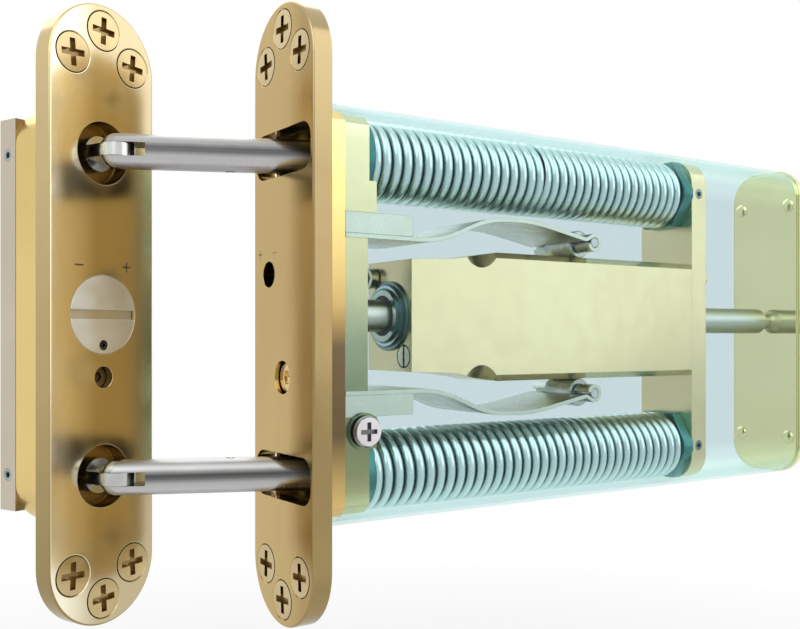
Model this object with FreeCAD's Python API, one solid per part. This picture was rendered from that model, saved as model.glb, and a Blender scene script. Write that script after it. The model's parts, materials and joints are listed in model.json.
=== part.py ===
import FreeCAD, Part
import math
import os

# Concealed jamb closer for a hinged door, drawn with the door 68 degrees open.
# Origin: centre of the door plate's front face. +X runs into the door, along the body,
# +Y points to the side that the arms swing to, +Z is up. Sizes are in millimetres.

# Faceplates, door side and frame side
PLATE_HEIGHT = 194.0
PLATE_WIDTH = 40.0
PLATE_THICK = 6.5
PLATE_EDGE_ROUND = 0.7
SCREW_HEAD_R = 6.3
SCREW_SHANK_R = 2.5
SCREW_PAIR_Y = 11.4
SCREW_PAIR_INSET = 17.4
SCREW_END_INSET = 8.2
SCREW_PAIR_Z = PLATE_HEIGHT / 2 - SCREW_PAIR_INSET
SCREW_END_Z = PLATE_HEIGHT / 2 - SCREW_END_INSET
RECESS_LENGTH = 8.4
RECESS_WIDTH = 2.0
RECESS_DEPTH = 1.7

# Pose of the open door
DOOR_OPEN_ANGLE = 67.9
ARM_OPEN_ANGLE = 23.2
SLIDE_CLOSING = 52.1

# Arms and their pivots
ARM_LEVEL = 50.5
ARM_R = 5.5
ARM_LENGTH = 68.1
INNER_PIN_X = 19.5
ANCHOR_PIN_AHEAD = 6.5
TONGUE_THICK = 4.0
FORK_GAP = 4.2
FORK_DEPTH = 8.6
FORK_PIN_R = 1.9
LINK_PIN_R = 2.0
ARM_TONGUE_R = 4.6
ARM_SHOULDER_GAP = 0.9
PIN_SUNK = 0.3
KNUCKLE_TONGUE_R = 5.3
SIGHT_HOLE_R = 1.5
SIGHT_HOLE_FROM_PIN = 34.5
SIGHT_HOLE_DEPTH = 2.0
CLEVIS_R = 6.5
CLEVIS_DEPTH = 5.6
CLEVIS_BODY = 11.0
CLEVIS_TAPER = 3.0
PULL_ROD_R = 5.0

# Front block, which carries the faceplate, the rod and the leaf springs
CASE_HALF = 17.1
CASE_WALL = 1.1
WASHER_CLEARANCE = 2.3
WASHER_R = CASE_HALF - CASE_WALL - WASHER_CLEARANCE
WASHER_HEADROOM = 1.0
CASE_TOP = ARM_LEVEL + WASHER_R + WASHER_HEADROOM + CASE_WALL
FLANGE_INSET = 0.2
BLOCK_CLEARANCE = 1.1
BLOCK_FLANGE_HALF = CASE_HALF - FLANGE_INSET
BLOCK_HALF = CASE_HALF - CASE_WALL - BLOCK_CLEARANCE
BLOCK_HEADROOM = 3.2
BLOCK_TOP = CASE_TOP - CASE_WALL - BLOCK_HEADROOM
BLOCK_CHAMFER = 3.1
FLANGE_REAR_X = 12.8
COLUMN_REAR_X = 22.1
SEAT_X = 22.7
TONGUE_REAR_X = 25.4
TONGUE_TOP = 41.7
COLUMN_TOP = 23.7
SLOT_HALF_HEIGHT = 7.2
PLATE_SLOT_RIM = 1.6
PLATE_SLOT_HALF_WIDTH = PLATE_WIDTH / 2 - PLATE_SLOT_RIM
PLATE_SLOT_CORNER = 5.2
CHANNEL_FRONT_WALL = 2.0
CHANNEL_REAR_WALL = 4.0
CHANNEL_FRONT_HALF = BLOCK_FLANGE_HALF - CHANNEL_FRONT_WALL
CHANNEL_REAR_HALF = BLOCK_HALF - CHANNEL_REAR_WALL

# Clear case and end plate
CASE_CORNER = 12.0
END_GAP = 3.9
END_SPIGOT = 1.2
END_PLATE_THICK = 3.2
CASE_SCREW_X = 20.5
CASE_SCREW_Z = 36.2
CASE_SCREW_HEAD_R = 5.0
CASE_SCREW_HEAD_RISE = 1.3
CASE_RECESS_TURN = 90.0
CASE_RECESS_SCALE = 0.7
CASE_BOSS_R = 5.7
RIVET_INSET = 4.0
RIVET_Y = CASE_HALF - CASE_WALL - RIVET_INSET
RIVET_Z = 50.6
RIVET_HEAD_R = 2.3
RIVET_HEAD_RISE = 1.3

# Damper: fixed rod and piston, sliding cylinder
ROD_R = 5.35
ROD_FRONT_X = 8.0
ROD_NECK_R = 3.2
ROD_NECK_LENGTH = 2.8
ROD_TAPER_LENGTH = 3.2
PISTON_X = 118.0
PISTON_LENGTH = 12.0
PISTON_R = 9.4
PISTON_RING_WIDTH = 2.8
PISTON_RING_DEPTH = 1.5
BODY_FRONT_X = 39.8
BODY_CLEARANCE = 2.8
BODY_HALF = CASE_HALF - CASE_WALL - BODY_CLEARANCE
LAND_TOP = 18.3
LAND_REAR_X = 56.5
LAND_REAR_TOP = 19.0
CAM_TOP_X = 77.0
CAM_TOP = 22.2
CAM_EDGE_Z = 20.0
CAM_EDGE_Y = 11.0
SCOOP_X = 68.6
SCOOP_BOTTOM = 16.5
SCOOP_R = 9.0
SCOOP_ANGLE = 40.0
CAVITY_FRONT_X = 51.5
CAVITY_REAR_X = 163.0
CAVITY_R = 9.7
GLAND_BORE_R = 11.0
GLAND_STEP_RISE = 1.0
GLAND_STEP_R = (11.6, 10.3, 8.9)
SEAL_R = 6.7
REAR_SEAL_LENGTH = 4.0
PLUG_INSET = 4.7
PLUG_Y = BODY_HALF - PLUG_INSET
PLUG_R = 3.9
PLUG_GAP = 0.2842
PLUG_Z = math.sqrt((GLAND_STEP_R[0] + PLUG_R + PLUG_GAP) ** 2 - PLUG_Y ** 2)
PLUG_LENGTH = 5.0
PLUG_SLOT = 1.0
VALVE_INSET = 3.8
VALVE_Y = BODY_HALF - VALVE_INSET
VALVE_CAP_R = 3.6
VALVE_GAP = 0.7615
VALVE_Z = math.sqrt((GLAND_STEP_R[0] + VALVE_CAP_R + VALVE_GAP) ** 2 - VALVE_Y ** 2)
VALVE_CAP_RISE = 2.8
VALVE_STEM_R = 2.4
VALVE_STEM_LENGTH = 8.0
VALVE_SOCKET_R = 2.2
KEY_HOLE_R = 4.15
KEY_WAY_R = 4.7

# Crosshead with its spring retainers
CROSSHEAD_FRONT_X = 175.5
CROSSHEAD_THICK = 8.5
CROSSHEAD_CLEARANCE = 2.3
CROSSHEAD_TOP = CASE_TOP - CROSSHEAD_CLEARANCE
CROSSHEAD_CORNER = 9.5
RELIEF_PLUG_R = 3.4
RELIEF_PLUG_RISE = 2.6
RELIEF_PLUG_Z = 16.5
BODY_SCREW_Z = 14.5
BODY_SCREW_R = 1.9
BODY_SCREW_HEAD_R = 3.6
BODY_SCREW_HEAD = 3.0
BODY_SCREW_LENGTH = 16.0
RETAINER_MARGIN = 0.7
RETAINER_ACROSS_FLATS = 2 * (WASHER_R - RETAINER_MARGIN)
RETAINER_CLEARANCE = 2.0
RETAINER_HALF = CASE_HALF - CASE_WALL - RETAINER_CLEARANCE
RETAINER_THICK = 5.0
RETAINER_SPIGOT = 3.5

# The end plate's inner face, clear of the crosshead when the door is closed
END_FACE_X = CROSSHEAD_FRONT_X + CROSSHEAD_THICK + SLIDE_CLOSING + END_GAP
ROD_NECK_X = END_FACE_X - ROD_NECK_LENGTH
ROD_TAPER_X = ROD_NECK_X - ROD_TAPER_LENGTH

# Springs
WASHER_MARGIN = 0.5
SPRING_R = WASHER_R - WASHER_MARGIN
SPRING_WIRE = 3.4
SPRING_PITCH = 4.15
SPRING_SEAM = 0.3
WASHER_THICK = 3.4
WASHER_WIDTH = 2.5
WASHER_BORE_R = WASHER_R - WASHER_WIDTH

# Leaf springs, their clamps and rollers
LEAF_OVERHANG = 0.2
LEAF_HALF = BLOCK_HALF + LEAF_OVERHANG
LEAF_THICK = 1.4
LEAF_FRONT_X = 14.0
LEAF_BEND_X = 50.0
LEAF_CREST_X = 70.5
LEAF_CREST_RISE = 8.5
LEAF_SHOULDER_X = 90.0
LEAF_SHOULDER_RISE = 9.0
LEAF_VALLEY_BEFORE_PIN = 4.0
LEAF_VALLEY_ABOVE_PIN = 0.9
LEAF_BEND_R = 40.0
LEAF_SHOULDER_R = 70.0
LEAF_VALLEY_R = 1.5
EYE_WRAP = 285.0
EYE_GAP = 7.5
ROLLER_X = 119.9
ROLLER_R = 5.1
ROLLER_HALF = 7.0
ROLLER_PIN_R = 1.8
ROLLER_GAP = 0.3
CLAMP_REAR_X = 39.3
CLAMP_HEIGHT = 6.7
CLAMP_SCREW_X = 18.0
CLAMP_SCREW_Y = 7.5
CLAMP_SCREW_R = 2.0
CLAMP_HEAD_R = 3.5
CLAMP_HEAD = 3.8
CLAMP_SCREW_BITE = 9.0

# Frame side: block, bar and latching adjuster behind the anchor plate
ANCHOR_BLOCK_THICK = 17.1
ANCHOR_BLOCK_HALF = 15.0
ANCHOR_BLOCK_TOP = 66.0
ANCHOR_BLOCK_CORNER = 13.0
ARM_HOLE_R = 9.85
BAR_THICK = 7.8
BAR_TOP = 61.8
SHOULDER_BEHIND_FACE = 2.0
ADJUSTER_R = 12.3
ADJUSTER_LIP = 3.5
ADJUSTER_FLANGE_R = 13.8
ADJUSTER_SHANK_R = 4.0
ADJUSTER_SLOT = 3.0
ADJUSTER_SLOT_DEPTH = 1.6
LOCK_SCREW_Z = 9.6
LOCK_SCREW_R = 1.6
LOCK_SCREW_LENGTH = 2.6
FIXING_Z = 19.6
FIXING_HOLE_R = 3.4
FIXING_HEAD_DEPTH = 3.0
FIXING_SHANK_R = 2.2
PLATE_FIXING_HOLE_R = 5.2
PLATE_FIXING_HEAD_R = 4.6
PLATE_FIXING_SUNK = 1.6
PLATE_FIXING_HEAD = 3.2
FIXING_LENGTH = 12.0

# Grub screws in the bar and the crosshead
GRUB_R = 2.0
GRUB_SOCKET_R = 1.1
GRUB_SOCKET_DEPTH = 1.5

# Fits
PRESS = 0.03
RUNNING = 0.3
EASY = 0.1
CUT = 1.0

V = FreeCAD.Vector
X_AXIS = V(1, 0, 0)
Y_AXIS = V(0, 1, 0)
Z_AXIS = V(0, 0, 1)
ORIGIN = V(0, 0, 0)


# Plain solids
def block(x0, x1, y0, y1, z0, z1):
    return Part.makeBox(x1 - x0, y1 - y0, z1 - z0, V(x0, y0, z0))


def rod_x(x0, x1, radius, y=0.0, z=0.0):
    return Part.makeCylinder(radius, x1 - x0, V(x0, y, z), X_AXIS)


def rod_y(y0, y1, radius, x, z):
    return Part.makeCylinder(radius, y1 - y0, V(x, y0, z), Y_AXIS)


def rod_z(z0, z1, radius, x, y=0.0):
    return Part.makeCylinder(radius, z1 - z0, V(x, y, z0), Z_AXIS)


def cone_x(x0, x1, radius0, radius1, y=0.0, z=0.0):
    return Part.makeCone(radius0, radius1, x1 - x0, V(x0, y, z), X_AXIS)


def ring_x(x0, x1, outer, inner, z=0.0):
    return rod_x(x0, x1, outer, z=z).cut(rod_x(x0 - CUT, x1 + CUT, inner, z=z))


def hexagon_x(x0, x1, corner_r, y=0.0, z=0.0):
    points = []
    for step in range(7):
        angle = math.radians(60.0 * step)
        points.append(V(x0, y + corner_r * math.cos(angle), z + corner_r * math.sin(angle)))
    return Part.Face(Part.makePolygon(points)).extrude(V(x1 - x0, 0, 0))


def mirror_z(shape):
    return shape.mirror(ORIGIN, Z_AXIS)


def mirror_y(shape):
    return shape.mirror(ORIGIN, Y_AXIS)


def mirror_x(shape):
    return shape.mirror(ORIGIN, X_AXIS)


def join(first, others):
    return first.fuse(others).removeSplitter()


# Upright outline across the body: a rectangle with round corners, pushed along X
def slab(x0, x1, half_width, half_height, corner):
    flat = half_width - corner
    level = half_height - corner
    half_turn = corner * math.sqrt(0.5)
    edges = []
    for quarter in range(4):
        side = 1 if quarter in (0, 3) else -1
        top = 1 if quarter in (0, 1) else -1
        centre = V(x0, side * flat, top * level)
        on_side = centre + V(0, side * corner, 0)
        on_top = centre + V(0, 0, top * corner)
        middle = centre + V(0, side * half_turn, top * half_turn)
        edges.append(Part.Arc(on_side, middle, on_top).toShape())
    for side in (1, -1):
        edges.append(Part.makeLine(V(x0, side * half_width, level), V(x0, side * half_width, -level)))
        if flat > 0.01:
            end = side * half_height
            edges.append(Part.makeLine(V(x0, flat, end), V(x0, -flat, end)))
    outline = Part.Wire(Part.__sortEdges__(edges))
    return Part.Face(outline).extrude(V(x1 - x0, 0, 0))


# The same with straight corner cuts
def chamfered_slab(x0, x1, half_width, half_height, chamfer):
    points = []
    for side, top in ((1, 1), (1, -1), (-1, -1), (-1, 1)):
        on_side = V(x0, side * half_width, top * (half_height - chamfer))
        on_top = V(x0, side * (half_width - chamfer), top * half_height)
        if side == top:
            points += [on_top, on_side]
        else:
            points += [on_side, on_top]
    points.append(points[0])
    return Part.Face(Part.makePolygon(points)).extrude(V(x1 - x0, 0, 0))


# Placement of what hangs on the open arms, from a frame with the anchor plate's face at x = 0
inner_pin = V(INNER_PIN_X, 0, 0)
arm_turn = math.radians(ARM_OPEN_ANGLE)
door_turn = math.radians(DOOR_OPEN_ANGLE)
anchor_pin = inner_pin + V(-math.cos(arm_turn), math.sin(arm_turn), 0) * ARM_LENGTH
anchor_normal = V(math.cos(door_turn), -math.sin(door_turn), 0)
anchor_face = anchor_pin - anchor_normal * ANCHOR_PIN_AHEAD


def placed(shape, place, turn):
    moved = FreeCAD.Placement(place, FreeCAD.Rotation(Z_AXIS, turn))
    shape.Placement = moved.multiply(shape.Placement)
    return shape


def on_anchor(shape):
    return placed(shape, anchor_face, -DOOR_OPEN_ANGLE)


def on_arm(shape, level):
    return placed(shape, V(INNER_PIN_X, 0, level), -ARM_OPEN_ANGLE)


# Faceplate with countersunk ends; its front face looks along -X from x = 0
def screw_places():
    places = []
    for end in (1, -1):
        places.append((0.0, end * SCREW_END_Z))
        for side in (1, -1):
            places.append((side * SCREW_PAIR_Y, end * SCREW_PAIR_Z))
    return places


def countersink(y, z, play):
    head_depth = SCREW_HEAD_R - SCREW_SHANK_R
    head = cone_x(0, head_depth, SCREW_HEAD_R + play, SCREW_SHANK_R + play, y, z)
    mouth = rod_x(-CUT, 0, SCREW_HEAD_R + play, y, z)
    shank = rod_x(0, PLATE_THICK + CUT, SCREW_SHANK_R + play, y, z)
    return head.fuse([mouth, shank])


def faceplate():
    plate = slab(0, PLATE_THICK, PLATE_WIDTH / 2, PLATE_HEIGHT / 2, PLATE_WIDTH / 2)
    rim = [edge for edge in plate.Edges if abs(edge.BoundBox.XMax) < 0.01]
    plate = plate.makeFillet(PLATE_EDGE_ROUND, rim)
    return plate.cut([countersink(y, z, EASY) for y, z in screw_places()])


def cross_recess(y, z):
    arm = block(-CUT, RECESS_DEPTH, y - RECESS_WIDTH / 2, y + RECESS_WIDTH / 2,
                z - RECESS_LENGTH / 2, z + RECESS_LENGTH / 2)
    other = block(-CUT, RECESS_DEPTH, y - RECESS_LENGTH / 2, y + RECESS_LENGTH / 2,
                  z - RECESS_WIDTH / 2, z + RECESS_WIDTH / 2)
    return arm.fuse(other)


def plate_screw(y, z):
    head_depth = SCREW_HEAD_R - SCREW_SHANK_R
    head = cone_x(0, head_depth, SCREW_HEAD_R, SCREW_SHANK_R, y, z)
    shank = rod_x(head_depth, PLATE_THICK, SCREW_SHANK_R, y, z)
    return join(head, [shank]).cut(cross_recess(y, z))


def plate_screws():
    return [plate_screw(y, z) for y, z in screw_places()]


# Door plate: two arm slots, the speed key's hole and the fixing screw's counterbore
def arm_slot(x0, x1):
    slot = slab(x0, x1, PLATE_SLOT_HALF_WIDTH, SLOT_HALF_HEIGHT, PLATE_SLOT_CORNER)
    return slot.translate(V(0, 0, ARM_LEVEL))


def door_plate():
    slot = arm_slot(-CUT, PLATE_THICK + CUT)
    key_hole = rod_x(-CUT, PLATE_THICK + CUT, KEY_HOLE_R, VALVE_Y, VALVE_Z)
    head_rear = PLATE_FIXING_SUNK + PLATE_FIXING_HEAD
    counterbore = rod_x(-CUT, head_rear, PLATE_FIXING_HOLE_R, z=-FIXING_Z)
    clearance = rod_x(0, PLATE_THICK + CUT, FIXING_SHANK_R + EASY, z=-FIXING_Z)
    return faceplate().cut([slot, mirror_z(slot), key_hole, counterbore, clearance])


def plate_fixing_screw():
    head_rear = PLATE_FIXING_SUNK + PLATE_FIXING_HEAD
    head = rod_x(PLATE_FIXING_SUNK, head_rear, PLATE_FIXING_HEAD_R, z=-FIXING_Z)
    shank = rod_x(head_rear, head_rear + FIXING_LENGTH, FIXING_SHANK_R, z=-FIXING_Z)
    recess = hexagon_x(0, PLATE_FIXING_SUNK + GRUB_SOCKET_DEPTH, PLATE_FIXING_HEAD_R / 2, z=-FIXING_Z)
    return join(head, [shank]).cut(recess)


# Front block: flange against the plate, body inside the case, flared arm channels
def arm_channel():
    front = PLATE_THICK - CUT
    rear = TONGUE_REAR_X + CUT
    points = [V(front, CHANNEL_FRONT_HALF, 0), V(rear, CHANNEL_REAR_HALF, 0),
              V(rear, -CHANNEL_REAR_HALF, 0), V(front, -CHANNEL_FRONT_HALF, 0)]
    points.append(points[0])
    level = ARM_LEVEL - SLOT_HALF_HEIGHT
    channel = Part.Face(Part.makePolygon(points)).extrude(V(0, 0, 2 * SLOT_HALF_HEIGHT))
    return channel.translate(V(0, 0, level))


def clamp_screw_places():
    return [(CLAMP_SCREW_X, side * CLAMP_SCREW_Y) for side in (1, -1)]


def front_block():
    flange = chamfered_slab(PLATE_THICK, FLANGE_REAR_X, BLOCK_FLANGE_HALF, BLOCK_TOP, BLOCK_CHAMFER)
    body = chamfered_slab(FLANGE_REAR_X, TONGUE_REAR_X, BLOCK_HALF, BLOCK_TOP, BLOCK_CHAMFER)
    boss = rod_y(-(CASE_HALF - CASE_WALL), -BLOCK_HALF, CASE_BOSS_R, CASE_SCREW_X, -CASE_SCREW_Z)
    shape = join(flange, [body, boss])
    wide = BLOCK_HALF + CUT
    clamp_top = COLUMN_TOP + LEAF_THICK + CLAMP_HEIGHT
    rear = TONGUE_REAR_X + CUT
    tools = [block(COLUMN_REAR_X, rear, -wide, wide, -COLUMN_TOP, COLUMN_TOP)]
    one_side = [
        block(SEAT_X, rear, -wide, wide, TONGUE_TOP, BLOCK_TOP + CUT),
        rod_x(SEAT_X, rear, WASHER_R + EASY, z=ARM_LEVEL),
        block(LEAF_FRONT_X - EASY, rear, -wide, wide, COLUMN_TOP, clamp_top),
        arm_channel(),
    ]
    for x, y in clamp_screw_places():
        one_side.append(rod_z(clamp_top - CUT, ARM_LEVEL, CLAMP_HEAD_R + EASY, x, y))
        one_side.append(rod_z(COLUMN_TOP - CLAMP_SCREW_BITE, COLUMN_TOP, CLAMP_SCREW_R + PRESS, x, y))
    tools += one_side + [mirror_z(tool) for tool in one_side]
    tools.append(rod_x(ROD_FRONT_X, rear, ROD_R + PRESS))
    tools.append(rod_x(PLATE_THICK - CUT, rear, KEY_WAY_R, VALVE_Y, VALVE_Z))
    fixing_end = PLATE_FIXING_SUNK + PLATE_FIXING_HEAD + FIXING_LENGTH
    tools.append(rod_x(PLATE_THICK - CUT, fixing_end, FIXING_SHANK_R + PRESS, z=-FIXING_Z))
    tools.append(rod_y(-CASE_HALF, -CASE_HALF + FIXING_LENGTH, FIXING_SHANK_R + PRESS,
                       CASE_SCREW_X, -CASE_SCREW_Z))
    return shape.cut(tools)


# Clear case: a round-cornered tube between the flange and the end plate
def case_rear_x():
    return END_FACE_X + END_SPIGOT


def case_sleeve():
    outer = slab(FLANGE_REAR_X, case_rear_x(), CASE_HALF, CASE_TOP, CASE_CORNER)
    inner = slab(FLANGE_REAR_X - CUT, case_rear_x() + CUT, CASE_HALF - CASE_WALL,
                 CASE_TOP - CASE_WALL, CASE_CORNER - CASE_WALL)
    screw = rod_y(-CASE_HALF - CUT, 0, FIXING_SHANK_R + EASY, CASE_SCREW_X, -CASE_SCREW_Z)
    return outer.cut([inner, screw])


def case_fixing_screw():
    face = -CASE_HALF
    top = face - CASE_SCREW_HEAD_RISE
    head = Part.makeCone(CASE_SCREW_HEAD_R - CASE_SCREW_HEAD_RISE / 2, CASE_SCREW_HEAD_R,
                         CASE_SCREW_HEAD_RISE, V(CASE_SCREW_X, top, -CASE_SCREW_Z), Y_AXIS)
    shank = rod_y(face, face + FIXING_LENGTH, FIXING_SHANK_R, CASE_SCREW_X, -CASE_SCREW_Z)
    place = V(CASE_SCREW_X, top, -CASE_SCREW_Z)
    recess = placed(cross_recess(0, 0), place, CASE_RECESS_TURN)
    return join(head, [shank]).cut(recess.scaled(CASE_RECESS_SCALE, place))


def rivet_places():
    return [(side * RIVET_Y, end * RIVET_Z) for side in (1, -1) for end in (1, -1)]


def end_plate():
    outside = case_rear_x() + END_PLATE_THICK - END_SPIGOT
    flange = slab(case_rear_x(), outside, CASE_HALF, CASE_TOP, CASE_CORNER)
    inset = CASE_WALL + EASY
    spigot = slab(END_FACE_X, case_rear_x(), CASE_HALF - inset, CASE_TOP - inset, CASE_CORNER - inset)
    tools = [rod_x(END_FACE_X - CUT, outside + CUT, ROD_NECK_R + PRESS)]
    for y, z in rivet_places():
        tools.append(rod_x(END_FACE_X - CUT, outside + CUT, RIVET_HEAD_R / 2 + PRESS, y, z))
    return join(flange, [spigot]).cut(tools)


def dome(x, y, z, radius, rise):
    ball_r = (radius ** 2 + rise ** 2) / (2 * rise)
    ball = Part.makeSphere(ball_r, V(x - rise + ball_r, y, z))
    return ball.common(block(x - rise - CUT, x, y - radius, y + radius, z - radius, z + radius))


def end_plate_rivets():
    rivets = []
    for y, z in rivet_places():
        head = dome(END_FACE_X, y, z, RIVET_HEAD_R, RIVET_HEAD_RISE)
        shank = rod_x(END_FACE_X, END_FACE_X + END_PLATE_THICK, RIVET_HEAD_R / 2, y, z)
        rivets.append(join(head, [shank]))
    return rivets


# Damper rod, fixed at both ends, and its piston
def piston_rod():
    straight = rod_x(ROD_FRONT_X, ROD_TAPER_X, ROD_R)
    taper = cone_x(ROD_TAPER_X, ROD_NECK_X, ROD_R, ROD_NECK_R)
    neck = rod_x(ROD_NECK_X, END_FACE_X + END_PLATE_THICK, ROD_NECK_R)
    return join(straight, [taper, neck])


def piston():
    front = PISTON_X - PISTON_LENGTH / 2
    body = ring_x(front, front + PISTON_LENGTH, PISTON_R, ROD_R + PRESS)
    half = PISTON_RING_WIDTH / 2 + EASY
    groove = ring_x(PISTON_X - half, PISTON_X + half, PISTON_R + CUT, PISTON_R - PISTON_RING_DEPTH)
    return body.cut(groove)


def piston_ring():
    half = PISTON_RING_WIDTH / 2
    inner = PISTON_R - PISTON_RING_DEPTH + PRESS
    return ring_x(PISTON_X - half, PISTON_X + half, PISTON_R + EASY, inner)


# Damper cylinder: a square bar with cam faces above and below, bored for the piston
def scoop():
    slope = math.radians(SCOOP_ANGLE)
    outward = V(0, -math.cos(slope), -math.sin(slope))
    upward = V(0, -math.sin(slope), math.cos(slope))
    lowest = V(SCOOP_X, -BODY_HALF, SCOOP_BOTTOM)
    start = lowest + upward * SCOOP_R - outward * 2 * BODY_HALF
    return Part.makeCylinder(SCOOP_R, 4 * BODY_HALF, start, outward)


def cam_chamfer():
    rise = CAM_TOP - CAM_EDGE_Z
    run = BODY_HALF - CAM_EDGE_Y
    reach = 4.0
    rear = CROSSHEAD_FRONT_X + CUT
    points = [V(BODY_FRONT_X - CUT, -CAM_EDGE_Y + reach * run, CAM_TOP + reach * rise),
              V(BODY_FRONT_X - CUT, -BODY_HALF - reach * run, CAM_EDGE_Z - reach * rise),
              V(BODY_FRONT_X - CUT, -BODY_HALF - reach * run, CAM_TOP + reach * rise)]
    points.append(points[0])
    return Part.Face(Part.makePolygon(points)).extrude(V(rear - BODY_FRONT_X + CUT, 0, 0))


def damper_body():
    upper = [V(BODY_FRONT_X, -BODY_HALF, 0), V(BODY_FRONT_X, -BODY_HALF, LAND_TOP),
             V(LAND_REAR_X, -BODY_HALF, LAND_REAR_TOP), V(CAM_TOP_X, -BODY_HALF, CAM_TOP),
             V(CROSSHEAD_FRONT_X, -BODY_HALF, CAM_TOP), V(CROSSHEAD_FRONT_X, -BODY_HALF, 0)]
    upper.append(upper[0])
    half = Part.Face(Part.makePolygon(upper)).extrude(V(0, 2 * BODY_HALF, 0))
    edge_cuts = [cam_chamfer(), scoop()]
    edge_cuts += [mirror_y(tool) for tool in edge_cuts]
    half = half.cut(edge_cuts)
    bar = join(half, [mirror_z(half)])
    tools = [
        rod_x(BODY_FRONT_X - CUT, CAVITY_FRONT_X, GLAND_BORE_R),
        rod_x(CAVITY_FRONT_X - CUT, CAVITY_REAR_X, CAVITY_R),
        rod_x(CAVITY_REAR_X - CUT, CAVITY_REAR_X + REAR_SEAL_LENGTH, SEAL_R),
        rod_x(CAVITY_REAR_X, CROSSHEAD_FRONT_X + CUT, ROD_R + RUNNING),
        rod_x(BODY_FRONT_X - CUT, BODY_FRONT_X + PLUG_LENGTH, PLUG_R + PRESS, -PLUG_Y, -PLUG_Z),
        rod_x(BODY_FRONT_X - CUT, BODY_FRONT_X + VALVE_STEM_LENGTH, VALVE_STEM_R + RUNNING,
              VALVE_Y, VALVE_Z),
    ]
    for end in (1, -1):
        screw_front = CROSSHEAD_FRONT_X + CROSSHEAD_THICK - BODY_SCREW_LENGTH
        tools.append(rod_x(screw_front, CROSSHEAD_FRONT_X + CUT, BODY_SCREW_R + PRESS, z=end * BODY_SCREW_Z))
    return bar.cut(tools)


def front_gland():
    shape = rod_x(BODY_FRONT_X, CAVITY_FRONT_X, GLAND_BORE_R - PRESS)
    steps = []
    for number, radius in enumerate(GLAND_STEP_R):
        rear = BODY_FRONT_X - number * GLAND_STEP_RISE
        steps.append(rod_x(rear - GLAND_STEP_RISE, rear, radius))
    shape = join(shape, steps)
    front = BODY_FRONT_X - len(GLAND_STEP_R) * GLAND_STEP_RISE
    seal_seat = rod_x(front - CUT, front + REAR_SEAL_LENGTH, SEAL_R)
    rod_way = rod_x(front - CUT, CAVITY_FRONT_X + CUT, ROD_R + RUNNING)
    return shape.cut([seal_seat, rod_way])


def front_rod_seal():
    front = BODY_FRONT_X - len(GLAND_STEP_R) * GLAND_STEP_RISE
    return ring_x(front, front + REAR_SEAL_LENGTH, SEAL_R - PRESS, ROD_R + EASY)


def rear_rod_seal():
    return ring_x(CAVITY_REAR_X, CAVITY_REAR_X + REAR_SEAL_LENGTH, SEAL_R - PRESS, ROD_R + EASY)


def fill_plug():
    plug = rod_x(BODY_FRONT_X, BODY_FRONT_X + PLUG_LENGTH, PLUG_R, -PLUG_Y, -PLUG_Z)
    slot = block(BODY_FRONT_X - CUT, BODY_FRONT_X + PLUG_SLOT, -PLUG_Y - PLUG_SLOT / 2,
                 -PLUG_Y + PLUG_SLOT / 2, -PLUG_Z - PLUG_R - CUT, -PLUG_Z + PLUG_R + CUT)
    return plug.cut(slot)


def speed_valve():
    front = BODY_FRONT_X - RUNNING - VALVE_CAP_RISE
    cap = rod_x(front, BODY_FRONT_X - RUNNING, VALVE_CAP_R, VALVE_Y, VALVE_Z)
    stem = rod_x(BODY_FRONT_X - RUNNING, BODY_FRONT_X + VALVE_STEM_LENGTH - RUNNING, VALVE_STEM_R,
                 VALVE_Y, VALVE_Z)
    recess = hexagon_x(front - CUT, front + VALVE_CAP_RISE, VALVE_SOCKET_R, VALVE_Y, VALVE_Z)
    return join(cap, [stem]).cut(recess)


# Crosshead, pulled forward by the two rods inside the springs
def crosshead_rear_x():
    return CROSSHEAD_FRONT_X + CROSSHEAD_THICK


def grub_x():
    return CROSSHEAD_FRONT_X + CROSSHEAD_THICK / 2


def crosshead():
    plate = slab(CROSSHEAD_FRONT_X, crosshead_rear_x(), BODY_HALF, CROSSHEAD_TOP, CROSSHEAD_CORNER)
    rear = crosshead_rear_x() + CUT
    tools = [rod_x(CROSSHEAD_FRONT_X - CUT, rear, ROD_R + RUNNING)]
    for end in (1, -1):
        tools.append(rod_x(CROSSHEAD_FRONT_X - CUT, rear, PULL_ROD_R + PRESS, z=end * ARM_LEVEL))
        tools.append(rod_y(-BODY_HALF - CUT, -PULL_ROD_R, GRUB_R + PRESS, grub_x(), end * ARM_LEVEL))
        tools.append(rod_x(CROSSHEAD_FRONT_X - CUT, rear, BODY_SCREW_R + PRESS, z=end * BODY_SCREW_Z))
        tools.append(rod_x(crosshead_rear_x() - BODY_SCREW_HEAD, rear, BODY_SCREW_HEAD_R + PRESS,
                           z=end * BODY_SCREW_Z))
    tools.append(rod_x(crosshead_rear_x() - BODY_SCREW_HEAD, rear, BODY_SCREW_R + PRESS,
                       -PLUG_Y, RELIEF_PLUG_Z))
    return plate.cut(tools)


def body_screws():
    screws = []
    rear = crosshead_rear_x()
    for end in (1, -1):
        head = rod_x(rear - BODY_SCREW_HEAD, rear, BODY_SCREW_HEAD_R, z=end * BODY_SCREW_Z)
        shank = rod_x(rear - BODY_SCREW_LENGTH, rear - BODY_SCREW_HEAD, BODY_SCREW_R, z=end * BODY_SCREW_Z)
        recess = hexagon_x(rear - GRUB_SOCKET_DEPTH, rear + CUT, BODY_SCREW_HEAD_R / 2, z=end * BODY_SCREW_Z)
        screws.append(join(head, [shank]).cut(recess))
    return screws


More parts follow.
